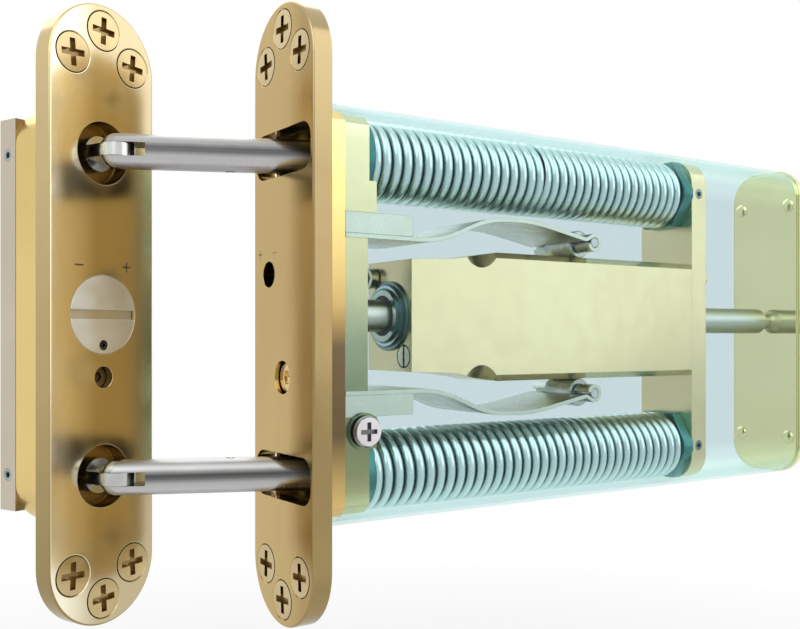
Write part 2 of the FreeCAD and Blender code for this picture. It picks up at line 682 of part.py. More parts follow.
def relief_plug():
    rear = crosshead_rear_x()
    head = rod_x(rear, rear + RELIEF_PLUG_RISE, RELIEF_PLUG_R, -PLUG_Y, RELIEF_PLUG_Z)
    stem = rod_x(rear - BODY_SCREW_HEAD, rear, BODY_SCREW_R, -PLUG_Y, RELIEF_PLUG_Z)
    recess = hexagon_x(rear + RELIEF_PLUG_RISE - GRUB_SOCKET_DEPTH, rear + RELIEF_PLUG_RISE + CUT,
                    RELIEF_PLUG_R / 2, -PLUG_Y, RELIEF_PLUG_Z)
    return join(head, [stem]).cut(recess)


def grub_screw(x, z, side_y, length):
    screw = rod_y(side_y, side_y + length, GRUB_R, x, z)
    recess = hexagon_x(-CUT, GRUB_SOCKET_DEPTH, GRUB_SOCKET_R)
    return screw.cut(placed(recess, V(x, side_y, z), 90.0))


def crosshead_grub_screws():
    length = BODY_HALF - PULL_ROD_R - PRESS
    return [grub_screw(grub_x(), end * ARM_LEVEL, -BODY_HALF, length) for end in (1, -1)]


def pull_rod(end):
    pin_x = INNER_PIN_X
    ball = Part.makeSphere(CLEVIS_R, V(pin_x, 0, 0))
    head = rod_x(pin_x, pin_x + CLEVIS_BODY, CLEVIS_R)
    taper = cone_x(pin_x + CLEVIS_BODY, pin_x + CLEVIS_BODY + CLEVIS_TAPER, CLEVIS_R, PULL_ROD_R)
    shaft = rod_x(pin_x + CLEVIS_BODY + CLEVIS_TAPER, crosshead_rear_x(), PULL_ROD_R)
    shape = join(ball, [head, taper, shaft])
    gap = block(pin_x - CLEVIS_R - CUT, pin_x + CLEVIS_DEPTH, -CLEVIS_R - CUT, CLEVIS_R + CUT,
                -FORK_GAP / 2, FORK_GAP / 2)
    pin_hole = rod_z(-CLEVIS_R - CUT, CLEVIS_R + CUT, LINK_PIN_R + PRESS, pin_x)
    return shape.cut([gap, pin_hole]).translate(V(0, 0, end * ARM_LEVEL))


def link_pin(end):
    half = CLEVIS_R - PIN_SUNK
    return rod_z(-half, half, LINK_PIN_R, INNER_PIN_X).translate(V(0, 0, end * ARM_LEVEL))


def spring_retainer():
    rear = CROSSHEAD_FRONT_X
    front = rear - RETAINER_THICK
    corner_r = RETAINER_ACROSS_FLATS / math.sqrt(3)
    nut = hexagon_x(front, rear, corner_r)
    nut = nut.common(block(front, rear, -RETAINER_HALF, RETAINER_HALF, -corner_r, corner_r))
    spigot = rod_x(front - RETAINER_SPIGOT, front, SPRING_R - SPRING_WIRE - RUNNING)
    shape = join(nut, [spigot])
    bore = rod_x(front - RETAINER_SPIGOT - CUT, rear + CUT, PULL_ROD_R + PRESS)
    return shape.cut(bore).translate(V(0, 0, ARM_LEVEL))


def seat_washer():
    return ring_x(SEAT_X, SEAT_X + WASHER_THICK, WASHER_R, WASHER_BORE_R, z=ARM_LEVEL)


# Coil spring as a sleeve that carries the crest of each turn, flat on top of the wire
def coil_sleeve(front, rear):
    turns = round((rear - front) / SPRING_PITCH)
    pitch = (rear - front) / turns
    bore = SPRING_R - SPRING_WIRE
    root = SPRING_R - SPRING_WIRE / 2
    flat = SPRING_WIRE / 4
    points = [V(front, 0, bore), V(front, 0, root)]
    for turn in range(turns):
        middle = front + (turn + 0.5) * pitch
        points += [V(middle - flat, 0, SPRING_R), V(middle + flat, 0, SPRING_R),
                   V(middle + pitch / 2, 0, root)]
    points += [V(rear, 0, bore), V(front, 0, bore)]
    sleeve = Part.Face(Part.makePolygon(points)).revolve(ORIGIN, X_AXIS, 360.0)
    return sleeve.translate(V(0, 0, ARM_LEVEL))


# Springs on the pull rods: two lengths end to end above, one below
def spring_lengths(count):
    front = SEAT_X + WASHER_THICK
    rear = CROSSHEAD_FRONT_X - RETAINER_THICK
    length = (rear - front - (count - 1) * SPRING_SEAM) / count
    lengths = []
    for number in range(count):
        start = front + number * (length + SPRING_SEAM)
        lengths.append(coil_sleeve(start, start + length))
    return lengths


# Arm: ball-ended fork at the anchor, tongue at the crosshead's link
def arm(end):
    fork_ball = Part.makeSphere(ARM_R, V(-ARM_LENGTH, 0, 0))
    shoulder = -(CLEVIS_R + ARM_SHOULDER_GAP)
    shaft = rod_x(-ARM_LENGTH, shoulder, ARM_R)
    tongue_body = block(shoulder - CUT, 0, -ARM_TONGUE_R, ARM_TONGUE_R,
                        -TONGUE_THICK / 2, TONGUE_THICK / 2)
    tongue_end = rod_z(-TONGUE_THICK / 2, TONGUE_THICK / 2, ARM_TONGUE_R, 0)
    shape = join(fork_ball, [shaft, tongue_body, tongue_end])
    gap = block(-ARM_LENGTH - ARM_R - CUT, -ARM_LENGTH + FORK_DEPTH, -ARM_R - CUT, ARM_R + CUT,
                -FORK_GAP / 2, FORK_GAP / 2)
    fork_hole = rod_z(-ARM_R - CUT, ARM_R + CUT, FORK_PIN_R + PRESS, -ARM_LENGTH)
    link_hole = rod_z(-ARM_R - CUT, ARM_R + CUT, LINK_PIN_R + RUNNING, 0)
    sight_x = -ARM_LENGTH + SIGHT_HOLE_FROM_PIN
    sight_hole = rod_z(-ARM_R - CUT, -ARM_R + SIGHT_HOLE_DEPTH, SIGHT_HOLE_R, sight_x)
    shape = shape.cut([gap, fork_hole, link_hole, sight_hole])
    if end < 0:
        shape = mirror_z(shape)
    return on_arm(shape, end * ARM_LEVEL)


def fork_pin(end):
    half = ARM_R - PIN_SUNK
    return on_arm(rod_z(-half, half, FORK_PIN_R, -ARM_LENGTH), end * ARM_LEVEL)


# Knuckle: a round shank through the anchor block, milled to a tongue in front
def anchor_bar_front():
    return -PLATE_THICK - ANCHOR_BLOCK_THICK - EASY


def knuckle(end):
    rear = anchor_bar_front() - BAR_THICK
    tip = ANCHOR_PIN_AHEAD
    shank = rod_x(rear, -SHOULDER_BEHIND_FACE, ARM_R)
    tongue_body = block(-SHOULDER_BEHIND_FACE - CUT, tip, -ARM_R, ARM_R,
                        -TONGUE_THICK / 2, TONGUE_THICK / 2)
    tongue_body = tongue_body.common(rod_x(rear, tip + CUT, ARM_R))
    tongue_end = rod_z(-TONGUE_THICK / 2, TONGUE_THICK / 2, KNUCKLE_TONGUE_R, tip)
    shape = join(shank, [tongue_body, tongue_end])
    hole = rod_z(-ARM_R, ARM_R, FORK_PIN_R + RUNNING, tip)
    return on_anchor(shape.cut(hole).translate(V(0, 0, end * ARM_LEVEL)))


def anchor_bar():
    front = anchor_bar_front()
    rear = front - BAR_THICK
    shape = block(rear, front, -ANCHOR_BLOCK_HALF, ANCHOR_BLOCK_HALF, -BAR_TOP, BAR_TOP)
    tools = [rod_x(rear - CUT, front + CUT, ADJUSTER_SHANK_R + EASY)]
    for end in (1, -1):
        tools.append(rod_x(rear - CUT, front + CUT, ARM_R + PRESS, z=end * ARM_LEVEL))
        tools.append(rod_y(-ANCHOR_BLOCK_HALF - CUT, -ARM_R, GRUB_R + PRESS, (front + rear) / 2,
                           end * ARM_LEVEL))
    return on_anchor(shape.cut(tools))


def bar_grub_screws():
    middle = anchor_bar_front() - BAR_THICK / 2
    length = ANCHOR_BLOCK_HALF - ARM_R - PRESS
    return [on_anchor(grub_screw(middle, end * ARM_LEVEL, -ANCHOR_BLOCK_HALF, length)) for end in (1, -1)]


def anchor_block():
    rear = -PLATE_THICK - ANCHOR_BLOCK_THICK
    shape = slab(rear, -PLATE_THICK, ANCHOR_BLOCK_HALF, ANCHOR_BLOCK_TOP, ANCHOR_BLOCK_CORNER)
    tools = [rod_x(rear - CUT, CUT, ADJUSTER_SHANK_R + RUNNING)]
    for end in (1, -1):
        tools.append(rod_x(rear - CUT, CUT, ARM_HOLE_R, z=end * ARM_LEVEL))
    screw_end = -FIXING_HEAD_DEPTH - PLATE_FIXING_HEAD - FIXING_LENGTH
    tools.append(rod_x(screw_end, CUT, FIXING_SHANK_R + PRESS, z=-FIXING_Z))
    return on_anchor(shape.cut(tools))


def anchor_plate():
    shape = mirror_x(faceplate())
    rear = -PLATE_THICK - CUT
    tools = [rod_x(rear, CUT, ADJUSTER_R + EASY),
             rod_x(rear, -ADJUSTER_LIP, ADJUSTER_FLANGE_R + EASY)]
    for end in (1, -1):
        tools.append(rod_x(rear, CUT, ARM_HOLE_R, z=end * ARM_LEVEL))
    tools.append(rod_x(rear, CUT, FIXING_SHANK_R + EASY, z=-FIXING_Z))
    head_rear = -FIXING_HEAD_DEPTH - PLATE_FIXING_HEAD
    tools.append(rod_x(head_rear, CUT, FIXING_HOLE_R, z=-FIXING_Z))
    return on_anchor(shape.cut(tools))


def anchor_plate_screws():
    return [on_anchor(mirror_x(screw)) for screw in plate_screws()]


def anchor_block_screw():
    front = -FIXING_HEAD_DEPTH
    head_rear = front - PLATE_FIXING_HEAD
    head = rod_x(head_rear, front, FIXING_HOLE_R - EASY, z=-FIXING_Z)
    shank = rod_x(head_rear - FIXING_LENGTH, head_rear, FIXING_SHANK_R, z=-FIXING_Z)
    recess = hexagon_x(front - GRUB_SOCKET_DEPTH, front + CUT, FIXING_HOLE_R / 2, z=-FIXING_Z)
    return on_anchor(join(head, [shank]).cut(recess))


# Latching adjuster: slotted disc turning in the plate, its thread drawing the bar along
def latch_adjuster():
    rear = anchor_bar_front() - BAR_THICK
    disc = rod_x(-PLATE_THICK + EASY, 0, ADJUSTER_R)
    flange = rod_x(-PLATE_THICK + EASY, -ADJUSTER_LIP - EASY, ADJUSTER_FLANGE_R)
    shank = rod_x(rear, -PLATE_THICK + EASY, ADJUSTER_SHANK_R)
    shape = join(disc, [flange, shank])
    wide = ADJUSTER_R + CUT
    slot = block(-ADJUSTER_SLOT_DEPTH, CUT, -wide, wide, -ADJUSTER_SLOT / 2, ADJUSTER_SLOT / 2)
    lock_hole = rod_x(-LOCK_SCREW_LENGTH, CUT, LOCK_SCREW_R + PRESS, z=-LOCK_SCREW_Z)
    return on_anchor(shape.cut([slot, lock_hole]))


def adjuster_lock_screw():
    screw = rod_x(-LOCK_SCREW_LENGTH, 0, LOCK_SCREW_R, z=-LOCK_SCREW_Z)
    recess = hexagon_x(-GRUB_SOCKET_DEPTH, CUT, LOCK_SCREW_R / 2, z=-LOCK_SCREW_Z)
    return on_anchor(screw.cut(recess))


# Strip of even thickness along lines and arcs in the XZ plane, pushed across the body
def side_edge(kind, data, shift):
    if kind == "line":
        start, end = data
        along = end.sub(start).normalize()
        across = V(-along.z, 0, along.x) * shift
        return start + across, end + across, Part.makeLine(start + across, end + across)
    centre, radius, angle0, angle1 = data
    grown = radius + shift if angle1 < angle0 else radius - shift
    places = []
    for angle in (angle0, (angle0 + angle1) / 2, angle1):
        turn = math.radians(angle)
        places.append(centre + V(math.cos(turn), 0, math.sin(turn)) * grown)
    return places[0], places[2], Part.Arc(places[0], places[1], places[2]).toShape()


def strip(pieces, thickness, half_width):
    edges = []
    ends = []
    for shift in (thickness / 2, -thickness / 2):
        sides = [side_edge(kind, data, shift) for kind, data in pieces]
        edges += [side[2] for side in sides]
        ends.append((sides[0][0], sides[-1][1]))
    edges.append(Part.makeLine(ends[0][0], ends[1][0]))
    edges.append(Part.makeLine(ends[0][1], ends[1][1]))
    outline = Part.Wire(Part.__sortEdges__(edges))
    face = Part.Face(outline)
    face.translate(V(0, -half_width, 0))
    return face.extrude(V(0, 2 * half_width, 0))


def rounded_path(corners, radii):
    pieces = []
    here = corners[0]
    for index, radius in enumerate(radii):
        before, corner, after = corners[index:index + 3]
        come = math.atan2(corner.z - before.z, corner.x - before.x)
        leave = math.atan2(after.z - corner.z, after.x - corner.x)
        turn = leave - come
        setback = radius * math.tan(abs(turn) / 2)
        begin = corner - V(math.cos(come), 0, math.sin(come)) * setback
        side = 1 if turn > 0 else -1
        centre = begin + V(-math.sin(come), 0, math.cos(come)) * radius * side
        angle0 = math.degrees(come) - 90.0 * side
        pieces.append(("line", (here, begin)))
        pieces.append(("arc", (centre, radius, angle0, angle0 + math.degrees(turn))))
        here = corner + V(math.cos(leave), 0, math.sin(leave)) * setback
    pieces.append(("line", (here, corners[-1])))
    return pieces


# Leaf spring: flat under its clamp, rising to a crest, curled round the roller's pin
def roller_pin_z():
    return CAM_TOP + ROLLER_GAP + ROLLER_R


def leaf():
    level = COLUMN_TOP + LEAF_THICK / 2
    eye = V(ROLLER_X, 0, roller_pin_z())
    eye_r = ROLLER_PIN_R + EASY + LEAF_THICK / 2
    valley = eye + V(-LEAF_VALLEY_BEFORE_PIN, 0, LEAF_VALLEY_ABOVE_PIN)
    to_eye = eye.sub(valley)
    rise = math.atan2(to_eye.z, to_eye.x) + math.asin(eye_r / to_eye.Length)
    reach = math.sqrt(to_eye.Length ** 2 - eye_r ** 2)
    touch = valley + V(math.cos(rise), 0, math.sin(rise)) * reach
    corners = [V(LEAF_FRONT_X, 0, level), V(LEAF_BEND_X, 0, level),
               V(LEAF_CREST_X, 0, level + LEAF_CREST_RISE),
               V(LEAF_SHOULDER_X, 0, level + LEAF_SHOULDER_RISE), valley, touch]
    pieces = rounded_path(corners, [LEAF_BEND_R, LEAF_BEND_R, LEAF_SHOULDER_R, LEAF_VALLEY_R])
    start = math.degrees(rise) + 90.0
    pieces.append(("arc", (eye, eye_r, start, start - EYE_WRAP)))
    shape = strip(pieces, LEAF_THICK, LEAF_HALF)
    window = block(ROLLER_X - ROLLER_R - 2 * RUNNING, ROLLER_X + 2 * ROLLER_R, -EYE_GAP, EYE_GAP,
                   0, BLOCK_TOP)
    tools = [window]
    for x, y in clamp_screw_places():
        tools.append(rod_z(0, BLOCK_TOP, CLAMP_SCREW_R + EASY, x, y))
    return shape.cut(tools)


def leaf_clamp():
    bottom = COLUMN_TOP + LEAF_THICK
    shape = block(LEAF_FRONT_X, CLAMP_REAR_X, -BLOCK_HALF, BLOCK_HALF, bottom, bottom + CLAMP_HEIGHT)
    tools = []
    for x, y in clamp_screw_places():
        tools.append(rod_z(bottom - CUT, BLOCK_TOP, CLAMP_SCREW_R + EASY, x, y))
        tools.append(rod_z(bottom + CLAMP_HEIGHT - CLAMP_HEAD, BLOCK_TOP, CLAMP_HEAD_R + EASY, x, y))
    return shape.cut(tools)


def leaf_clamp_screws():
    top = COLUMN_TOP + LEAF_THICK + CLAMP_HEIGHT
    screws = []
    for x, y in clamp_screw_places():
        head = rod_z(top - CLAMP_HEAD, top, CLAMP_HEAD_R, x, y)
        shank = rod_z(COLUMN_TOP - CLAMP_SCREW_BITE, top - CLAMP_HEAD, CLAMP_SCREW_R, x, y)
        screws.append(join(head, [shank]))
    return screws + [mirror_z(screw) for screw in screws]


def roller_pin():
    return rod_y(-LEAF_HALF, LEAF_HALF, ROLLER_PIN_R, ROLLER_X, roller_pin_z())


def roller():
    wheel = rod_y(-ROLLER_HALF, ROLLER_HALF, ROLLER_R, ROLLER_X, roller_pin_z())
    bore = rod_y(-ROLLER_HALF - CUT, ROLLER_HALF + CUT, ROLLER_PIN_R + RUNNING, ROLLER_X, roller_pin_z())
    return wheel.cut(bore)


# Every piece, by the name of its file
def both_ends(shape):
    return [shape, mirror_z(shape)]


def parts():
    return {
        "door_plate": door_plate(),
        "door_plate_screws": plate_screws(),
        "plate_fixing_screw": plate_fixing_screw(),
        "front_block": front_block(),
        "case_sleeve": case_sleeve(),
        "case_fixing_screw": case_fixing_screw(),
        "end_plate": end_plate(),
        "end_plate_rivets": end_plate_rivets(),
        "piston_rod": piston_rod(),
        "piston": piston(),
        "piston_ring": piston_ring(),
        "spring_seat_washers": both_ends(seat_washer()),
        "upper_springs": spring_lengths(2),
        "lower_spring": mirror_z(spring_lengths(1)[0]),
        "upper_leaf": leaf(),
        "lower_leaf": mirror_z(leaf()),
        "upper_leaf_clamp": leaf_clamp(),
        "lower_leaf_clamp": mirror_z(leaf_clamp()),
        "leaf_clamp_screws": leaf_clamp_screws(),
        "upper_roller_pin": roller_pin(),
        "lower_roller_pin": mirror_z(roller_pin()),
        "upper_roller": roller(),
        "lower_roller": mirror_z(roller()),
        "crosshead": crosshead(),
        "crosshead_grub_screws": crosshead_grub_screws(),
        "damper_body": damper_body(),
        "front_gland": front_gland(),
        "front_rod_seal": front_rod_seal(),
        "rear_rod_seal": rear_rod_seal(),
        "fill_plug": fill_plug(),
        "speed_valve": speed_valve(),
        "relief_plug": relief_plug(),
        "body_screws": body_screws(),
        "spring_retainers": both_ends(spring_retainer()),
        "upper_pull_rod": pull_rod(1),
        "lower_pull_rod": pull_rod(-1),
        "upper_link_pin": link_pin(1),
        "lower_link_pin": link_pin(-1),
        "upper_arm": arm(1),
        "lower_arm": arm(-1),
        "upper_fork_pin": fork_pin(1),
        "lower_fork_pin": fork_pin(-1),
        "upper_knuckle": knuckle(1),
        "lower_knuckle": knuckle(-1),
        "anchor_bar": anchor_bar(),
        "bar_grub_screws": bar_grub_screws(),
        "anchor_block": anchor_block(),
        "anchor_plate": anchor_plate(),
        "anchor_plate_screws": anchor_plate_screws(),
        "anchor_block_screw": anchor_block_screw(),
        "latch_adjuster": latch_adjuster(),
        "adjuster_lock_screw": adjuster_lock_screw(),
    }


os.makedirs("parts", exist_ok=True)
for name, made in parts().items():
    shape = Part.makeCompound(made) if isinstance(made, list) else made
    shape.exportStep("parts/" + name + ".step")
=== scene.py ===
import bmesh
import bpy
import json
from math import cos, pi, radians, sin
from mathutils import Matrix, Vector


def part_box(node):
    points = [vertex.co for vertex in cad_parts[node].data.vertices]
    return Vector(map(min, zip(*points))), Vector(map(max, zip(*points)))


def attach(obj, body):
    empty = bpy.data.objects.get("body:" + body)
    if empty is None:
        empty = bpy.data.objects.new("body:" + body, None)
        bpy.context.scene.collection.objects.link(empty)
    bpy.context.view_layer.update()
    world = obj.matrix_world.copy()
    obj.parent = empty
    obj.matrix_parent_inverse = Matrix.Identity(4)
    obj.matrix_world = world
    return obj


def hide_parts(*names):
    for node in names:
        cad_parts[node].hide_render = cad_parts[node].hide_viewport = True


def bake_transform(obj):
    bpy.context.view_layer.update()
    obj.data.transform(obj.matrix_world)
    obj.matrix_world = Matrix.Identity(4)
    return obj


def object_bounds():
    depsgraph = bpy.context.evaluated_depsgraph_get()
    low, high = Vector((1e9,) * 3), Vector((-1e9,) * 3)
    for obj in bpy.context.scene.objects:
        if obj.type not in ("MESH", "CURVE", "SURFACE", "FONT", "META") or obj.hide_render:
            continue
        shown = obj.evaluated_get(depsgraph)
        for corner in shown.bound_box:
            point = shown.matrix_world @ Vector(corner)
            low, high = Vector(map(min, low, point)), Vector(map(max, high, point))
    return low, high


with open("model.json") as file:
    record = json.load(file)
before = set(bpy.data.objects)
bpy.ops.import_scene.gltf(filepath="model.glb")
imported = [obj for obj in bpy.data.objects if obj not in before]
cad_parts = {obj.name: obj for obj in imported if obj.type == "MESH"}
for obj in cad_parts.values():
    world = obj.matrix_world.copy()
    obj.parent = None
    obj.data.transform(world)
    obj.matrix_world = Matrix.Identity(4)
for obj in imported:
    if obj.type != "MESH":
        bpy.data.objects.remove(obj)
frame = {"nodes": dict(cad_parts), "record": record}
cad_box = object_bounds()


# Door plate: the round-ended faceplate let into the door's edge.
# Rolled brass, 6.5 mm thick, satin polished; its slots and screw seats are milled.
MM = 0.001
UP = Vector((0, 0, 1))
CLOUD_DETAIL = 3.0
CLOUD_SWIRL = 0.4
CLOUD_DARK_BELOW = 0.35
CLOUD_LIGHT_ABOVE = 0.65
MOTTLE_SCALE = 60.0
MOTTLE_STRETCH = (0.3, 1, 1)
MOTTLE_DARKEST = (0.93, 0.93, 0.93)
GRAIN_SCALE = 160.0
GRAIN_LOW = 0.3
GRAIN_HIGH = 0.7
SINK_START = 0.15 * MM
RECESS_SHADE_STOPS = ((0.0, (0, 0, 0)), (0.12, (0.55, 0.55, 0.55)), (1.0, (1, 1, 1)))
MERGE_DISTANCE = 1e-6
FLAT_ANGLE = 0.6


def new_material(name, metallic, roughness):
    material = bpy.data.materials.new(name)
    material.use_nodes = True
    tree = material.node_tree
    shader = tree.nodes["Principled BSDF"]
    shader.inputs["Metallic"].default_value = metallic
    shader.inputs["Roughness"].default_value = roughness
    return material, tree, shader


def noise(tree, scale, stretch=(1, 1, 1), detail=4.0, distortion=0.0):
    place = tree.nodes.new("ShaderNodeTexCoord")
    mapping = tree.nodes.new("ShaderNodeMapping")
    mapping.inputs["Scale"].default_value = stretch
    texture = tree.nodes.new("ShaderNodeTexNoise")
    texture.inputs["Scale"].default_value = scale
    texture.inputs["Detail"].default_value = detail
    texture.inputs["Distortion"].default_value = distortion
    tree.links.new(place.outputs["Object"], mapping.inputs["Vector"])
    tree.links.new(mapping.outputs["Vector"], texture.inputs["Vector"])
    return texture.outputs["Fac"]


def ramp(tree, factor, stops):
    node = tree.nodes.new("ShaderNodeValToRGB")
    elements = node.color_ramp.elements
    while len(elements) < len(stops):
        elements.new(0.5)
    for element, (position, tone) in zip(elements, stops):
        element.position = position
        element.color = (*tone, 1.0)
    tree.links.new(factor, node.inputs["Fac"])
    return node.outputs["Color"]


def remapped(tree, value, from_low, from_high, to_low, to_high):
    node = tree.nodes.new("ShaderNodeMapRange")
    node.inputs["From Min"].default_value = from_low
    node.inputs["From Max"].default_value = from_high
    node.inputs["To Min"].default_value = to_low
    node.inputs["To Max"].default_value = to_high
    tree.links.new(value, node.inputs["Value"])
    return node.outputs["Result"]


# How far a point lies along a direction, from a place on the piece
def distance_along(tree, place, direction):
    source = tree.nodes.new("ShaderNodeTexCoord")
    offset = tree.nodes.new("ShaderNodeVectorMath")
    offset.operation = "SUBTRACT"
    offset.inputs[1].default_value = place
    product = tree.nodes.new("ShaderNodeVectorMath")
    product.operation = "DOT_PRODUCT"
    product.inputs[1].default_value = direction
    tree.links.new(source.outputs["Object"], offset.inputs[0])
    tree.links.new(offset.outputs["Vector"], product.inputs[0])
    return product.outputs["Value"]


def mixed(tree, factor, first, second):
    node = tree.nodes.new("ShaderNodeMix")
    node.data_type = "RGBA"
    tree.links.new(factor, node.inputs["Factor"])
    for socket, tone in ((node.inputs["A"], first), (node.inputs["B"], second)):
        if isinstance(tone, tuple):
            socket.default_value = (*tone, 1.0)
        else:
            tree.links.new(tone, socket)
    return node.outputs["Result"]


def clouded(light, dark, scale=22.0, stretch=(1, 1, 1)):
    def paint(tree):
        clouds = noise(tree, scale, stretch, detail=CLOUD_DETAIL, distortion=CLOUD_SWIRL)
        return ramp(tree, clouds, ((CLOUD_DARK_BELOW, dark), (CLOUD_LIGHT_ABOVE, light)))
    return paint


# Painted light: a finish that changes evenly from one place to another along a direction
def painted_light_gradient(low_paint, high_paint, direction, low, high):
    def paint(tree):
        place = remapped(tree, distance_along(tree, (0, 0, 0), direction), low, high, 0.0, 1.0)
        return mixed(tree, place, low_paint(tree), high_paint(tree))
    return paint


# Painted light and shade by height, as on a lying rod or a tall block, under a faint random mottle
def lit_by_height(level, reach, stops):
    def paint(tree):
        height = distance_along(tree, (0, 0, level), UP)
        place = remapped(tree, height, -reach, reach, 0.0, 1.0)
        streaks = noise(tree, MOTTLE_SCALE, MOTTLE_STRETCH)
        mottle = ramp(tree, streaks, ((GRAIN_LOW, MOTTLE_DARKEST), (GRAIN_HIGH, (1, 1, 1))))
        product = tree.nodes.new("ShaderNodeMix")
        product.data_type = "RGBA"
        product.blend_type = "MULTIPLY"
        product.inputs["Factor"].default_value = 1.0
        tree.links.new(ramp(tree, place, stops), product.inputs["A"])
        tree.links.new(mottle, product.inputs["B"])
        return product.outputs["Result"]
    return paint


def computed(tree, operation, first, second):
    node = tree.nodes.new("ShaderNodeMath")
    node.operation = operation
    for socket, value in ((node.inputs[0], first), (node.inputs[1], second)):
        if isinstance(value, (int, float)):
            socket.default_value = value
        else:
            tree.links.new(value, socket)
    return node.outputs["Value"]


def distance_of(tree, first, second):
    square = computed(tree, "ADD", computed(tree, "MULTIPLY", first, first),
                      computed(tree, "MULTIPLY", second, second))
    return computed(tree, "SQRT", square, 0.0)


# The same finish with painted shade below a face, darker with depth, as in recesses and bores
def recess_shaded(paint, place, outward, deep, full_depth=1.4 * MM, inside=None):
    def dimmed(tree):
        height = distance_along(tree, place, outward)
        depth = remapped(tree, height, -SINK_START, -full_depth, 0.0, 1.0)
        share = ramp(tree, depth, RECESS_SHADE_STOPS)
        if inside:
            share = computed(tree, "MULTIPLY", share, inside(tree))
        return mixed(tree, share, paint(tree), deep)
    return dimmed


def metal(name, paint, smooth, rough, grain=(1, 1, 1), grain_scale=GRAIN_SCALE):
    material, tree, shader = new_material(name, metallic=1.0, roughness=rough)
    tree.links.new(paint(tree), shader.inputs["Base Color"])
    lines = noise(tree, grain_scale, grain, detail=1.0)
    tree.links.new(remapped(tree, lines, GRAIN_LOW, GRAIN_HIGH, smooth, rough), shader.inputs["Roughness"])
    return material


def finished(piece, name, edge, material, smooth_angle=40.0):
    if edge > 0:
        bevel = piece.modifiers.new("edge", "BEVEL")
        bevel.width = edge
        bevel.segments = 2
        bevel.limit_method = "ANGLE"
        bevel.angle_limit = radians(smooth_angle)
    piece.data.shade_smooth()
    piece.data.set_sharp_from_angle(angle=radians(smooth_angle))
    normals = piece.modifiers.new("normals", "WEIGHTED_NORMAL")
    normals.keep_sharp = True
    graph = bpy.context.evaluated_depsgraph_get()
    mesh = bpy.data.meshes.new_from_object(piece.evaluated_get(graph))
    piece.modifiers.clear()
    piece.data = mesh
    mesh.materials.clear()
    mesh.materials.append(material)
    mesh.name = name
    return piece


def shown(name, mesh):
    piece = bpy.data.objects.new(name, mesh)
    bpy.context.scene.collection.objects.link(piece)
    return piece


# A CAD node's solids with merged corners, worn edges and smooth rounds, in the node's place
def dressed(node, name, body, material, edge=0.25 * MM, smooth_angle=40.0):
    shape = bmesh.new()
    shape.from_mesh(frame["nodes"][node].data)
    bmesh.ops.remove_doubles(shape, verts=shape.verts, dist=MERGE_DISTANCE)
    bmesh.ops.dissolve_limit(shape, angle_limit=radians(FLAT_ANGLE), verts=shape.verts, edges=shape.edges)
    mesh = bpy.data.meshes.new(name)
    shape.to_mesh(mesh)
    shape.free()
    piece = finished(shown(name, mesh), name, edge, material, smooth_angle)
    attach(piece, body)
    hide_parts(node)
    return piece


mounts = {mount["name"]: mount for mount in frame["record"]["mounts"]}
DOOR_FACE = Vector(mounts["door_plate_face"]["pos_m"])
DOOR_OUTWARD = Vector(mounts["door_plate_face"]["axis"])
plate_low, plate_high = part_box("door_plate")
plate_half = (plate_high[2] - plate_low[2]) / 2
plate_wide_half = (plate_high[1] - plate_low[1]) / 2
plate_thick = plate_high[0] - plate_low[0]
PLATE_FACE_RIM = 0.6 * MM
PLATE_RECESS_SHADE = (0.24, 0.17, 0.075)
PLATE_FULL_DEPTH = 8 * MM
PLATE_CLOUD_SCALE = 14.0
PLATE_CLOUD_STRETCH = (1, 1, 0.45)
PLATE_GRAIN = (1, 1, 0.2)


# One inside a plate's round-ended outline, nought on its edges
def within_plate(middle, across):
    def share(tree):
        aside = distance_along(tree, middle, across)
        level = computed(tree, "ABSOLUTE", distance_along(tree, (0, 0, 0), UP), 0.0)
        beyond = computed(tree, "SUBTRACT", level, plate_half - plate_wide_half)
        past_end = computed(tree, "MAXIMUM", beyond, 0.0)
        reach = distance_of(tree, aside, past_end)
        return computed(tree, "LESS_THAN", reach, plate_wide_half - PLATE_FACE_RIM)
    return share


# Soft clouds drawn out upright, painted as reflections on a plate's face
def plate_reflection_clouds(light, dark):
    return clouded(light, dark, PLATE_CLOUD_SCALE, PLATE_CLOUD_STRETCH)


# A plate's face with painted shade in its recesses, and its edges with painted light, in one brass
def plate_brass(name, face, outward, face_paint, edge_paint):
    across = UP.cross(-outward)
    inside = within_plate(face, across)
    recessed = recess_shaded(face_paint, face, outward, PLATE_RECESS_SHADE, PLATE_FULL_DEPTH)

    def paint(tree):
        return mixed(tree, inside(tree), edge_paint(tree), recessed(tree))
    return metal(name, paint, smooth=0.15, rough=0.19, grain=PLATE_GRAIN)


DOOR_ACROSS = UP.cross(-DOOR_OUTWARD)
# Painted light: the face grows lighter across its width, over soft clouds of painted reflection; its edges
# are painted darker across the middle and lightest at the top
DOOR_SHADE_FROM = -14 * MM
DOOR_SHADE_TO = -4 * MM
DOOR_EDGE_LIGHT_TONES = ((0.0, (0.37, 0.27, 0.12)), (0.28, (0.33, 0.24, 0.105)), (0.50, (0.30, 0.215, 0.097)),
                   (0.72, (0.34, 0.26, 0.125)), (1.0, (0.50, 0.39, 0.205)))
door_paint = painted_light_gradient(plate_reflection_clouds((0.44, 0.30, 0.11), (0.38, 0.26, 0.09)),
                    plate_reflection_clouds((0.54, 0.385, 0.15), (0.49, 0.345, 0.128)),
                    DOOR_ACROSS, DOOR_SHADE_FROM, DOOR_SHADE_TO)
door_brass = plate_brass("door_plate_brass", DOOR_FACE, DOOR_OUTWARD, door_paint,
                         lit_by_height(0.0, plate_half, DOOR_EDGE_LIGHT_TONES))
dressed("door_plate", "door_faceplate", "case", door_brass, edge=0.3 * MM)


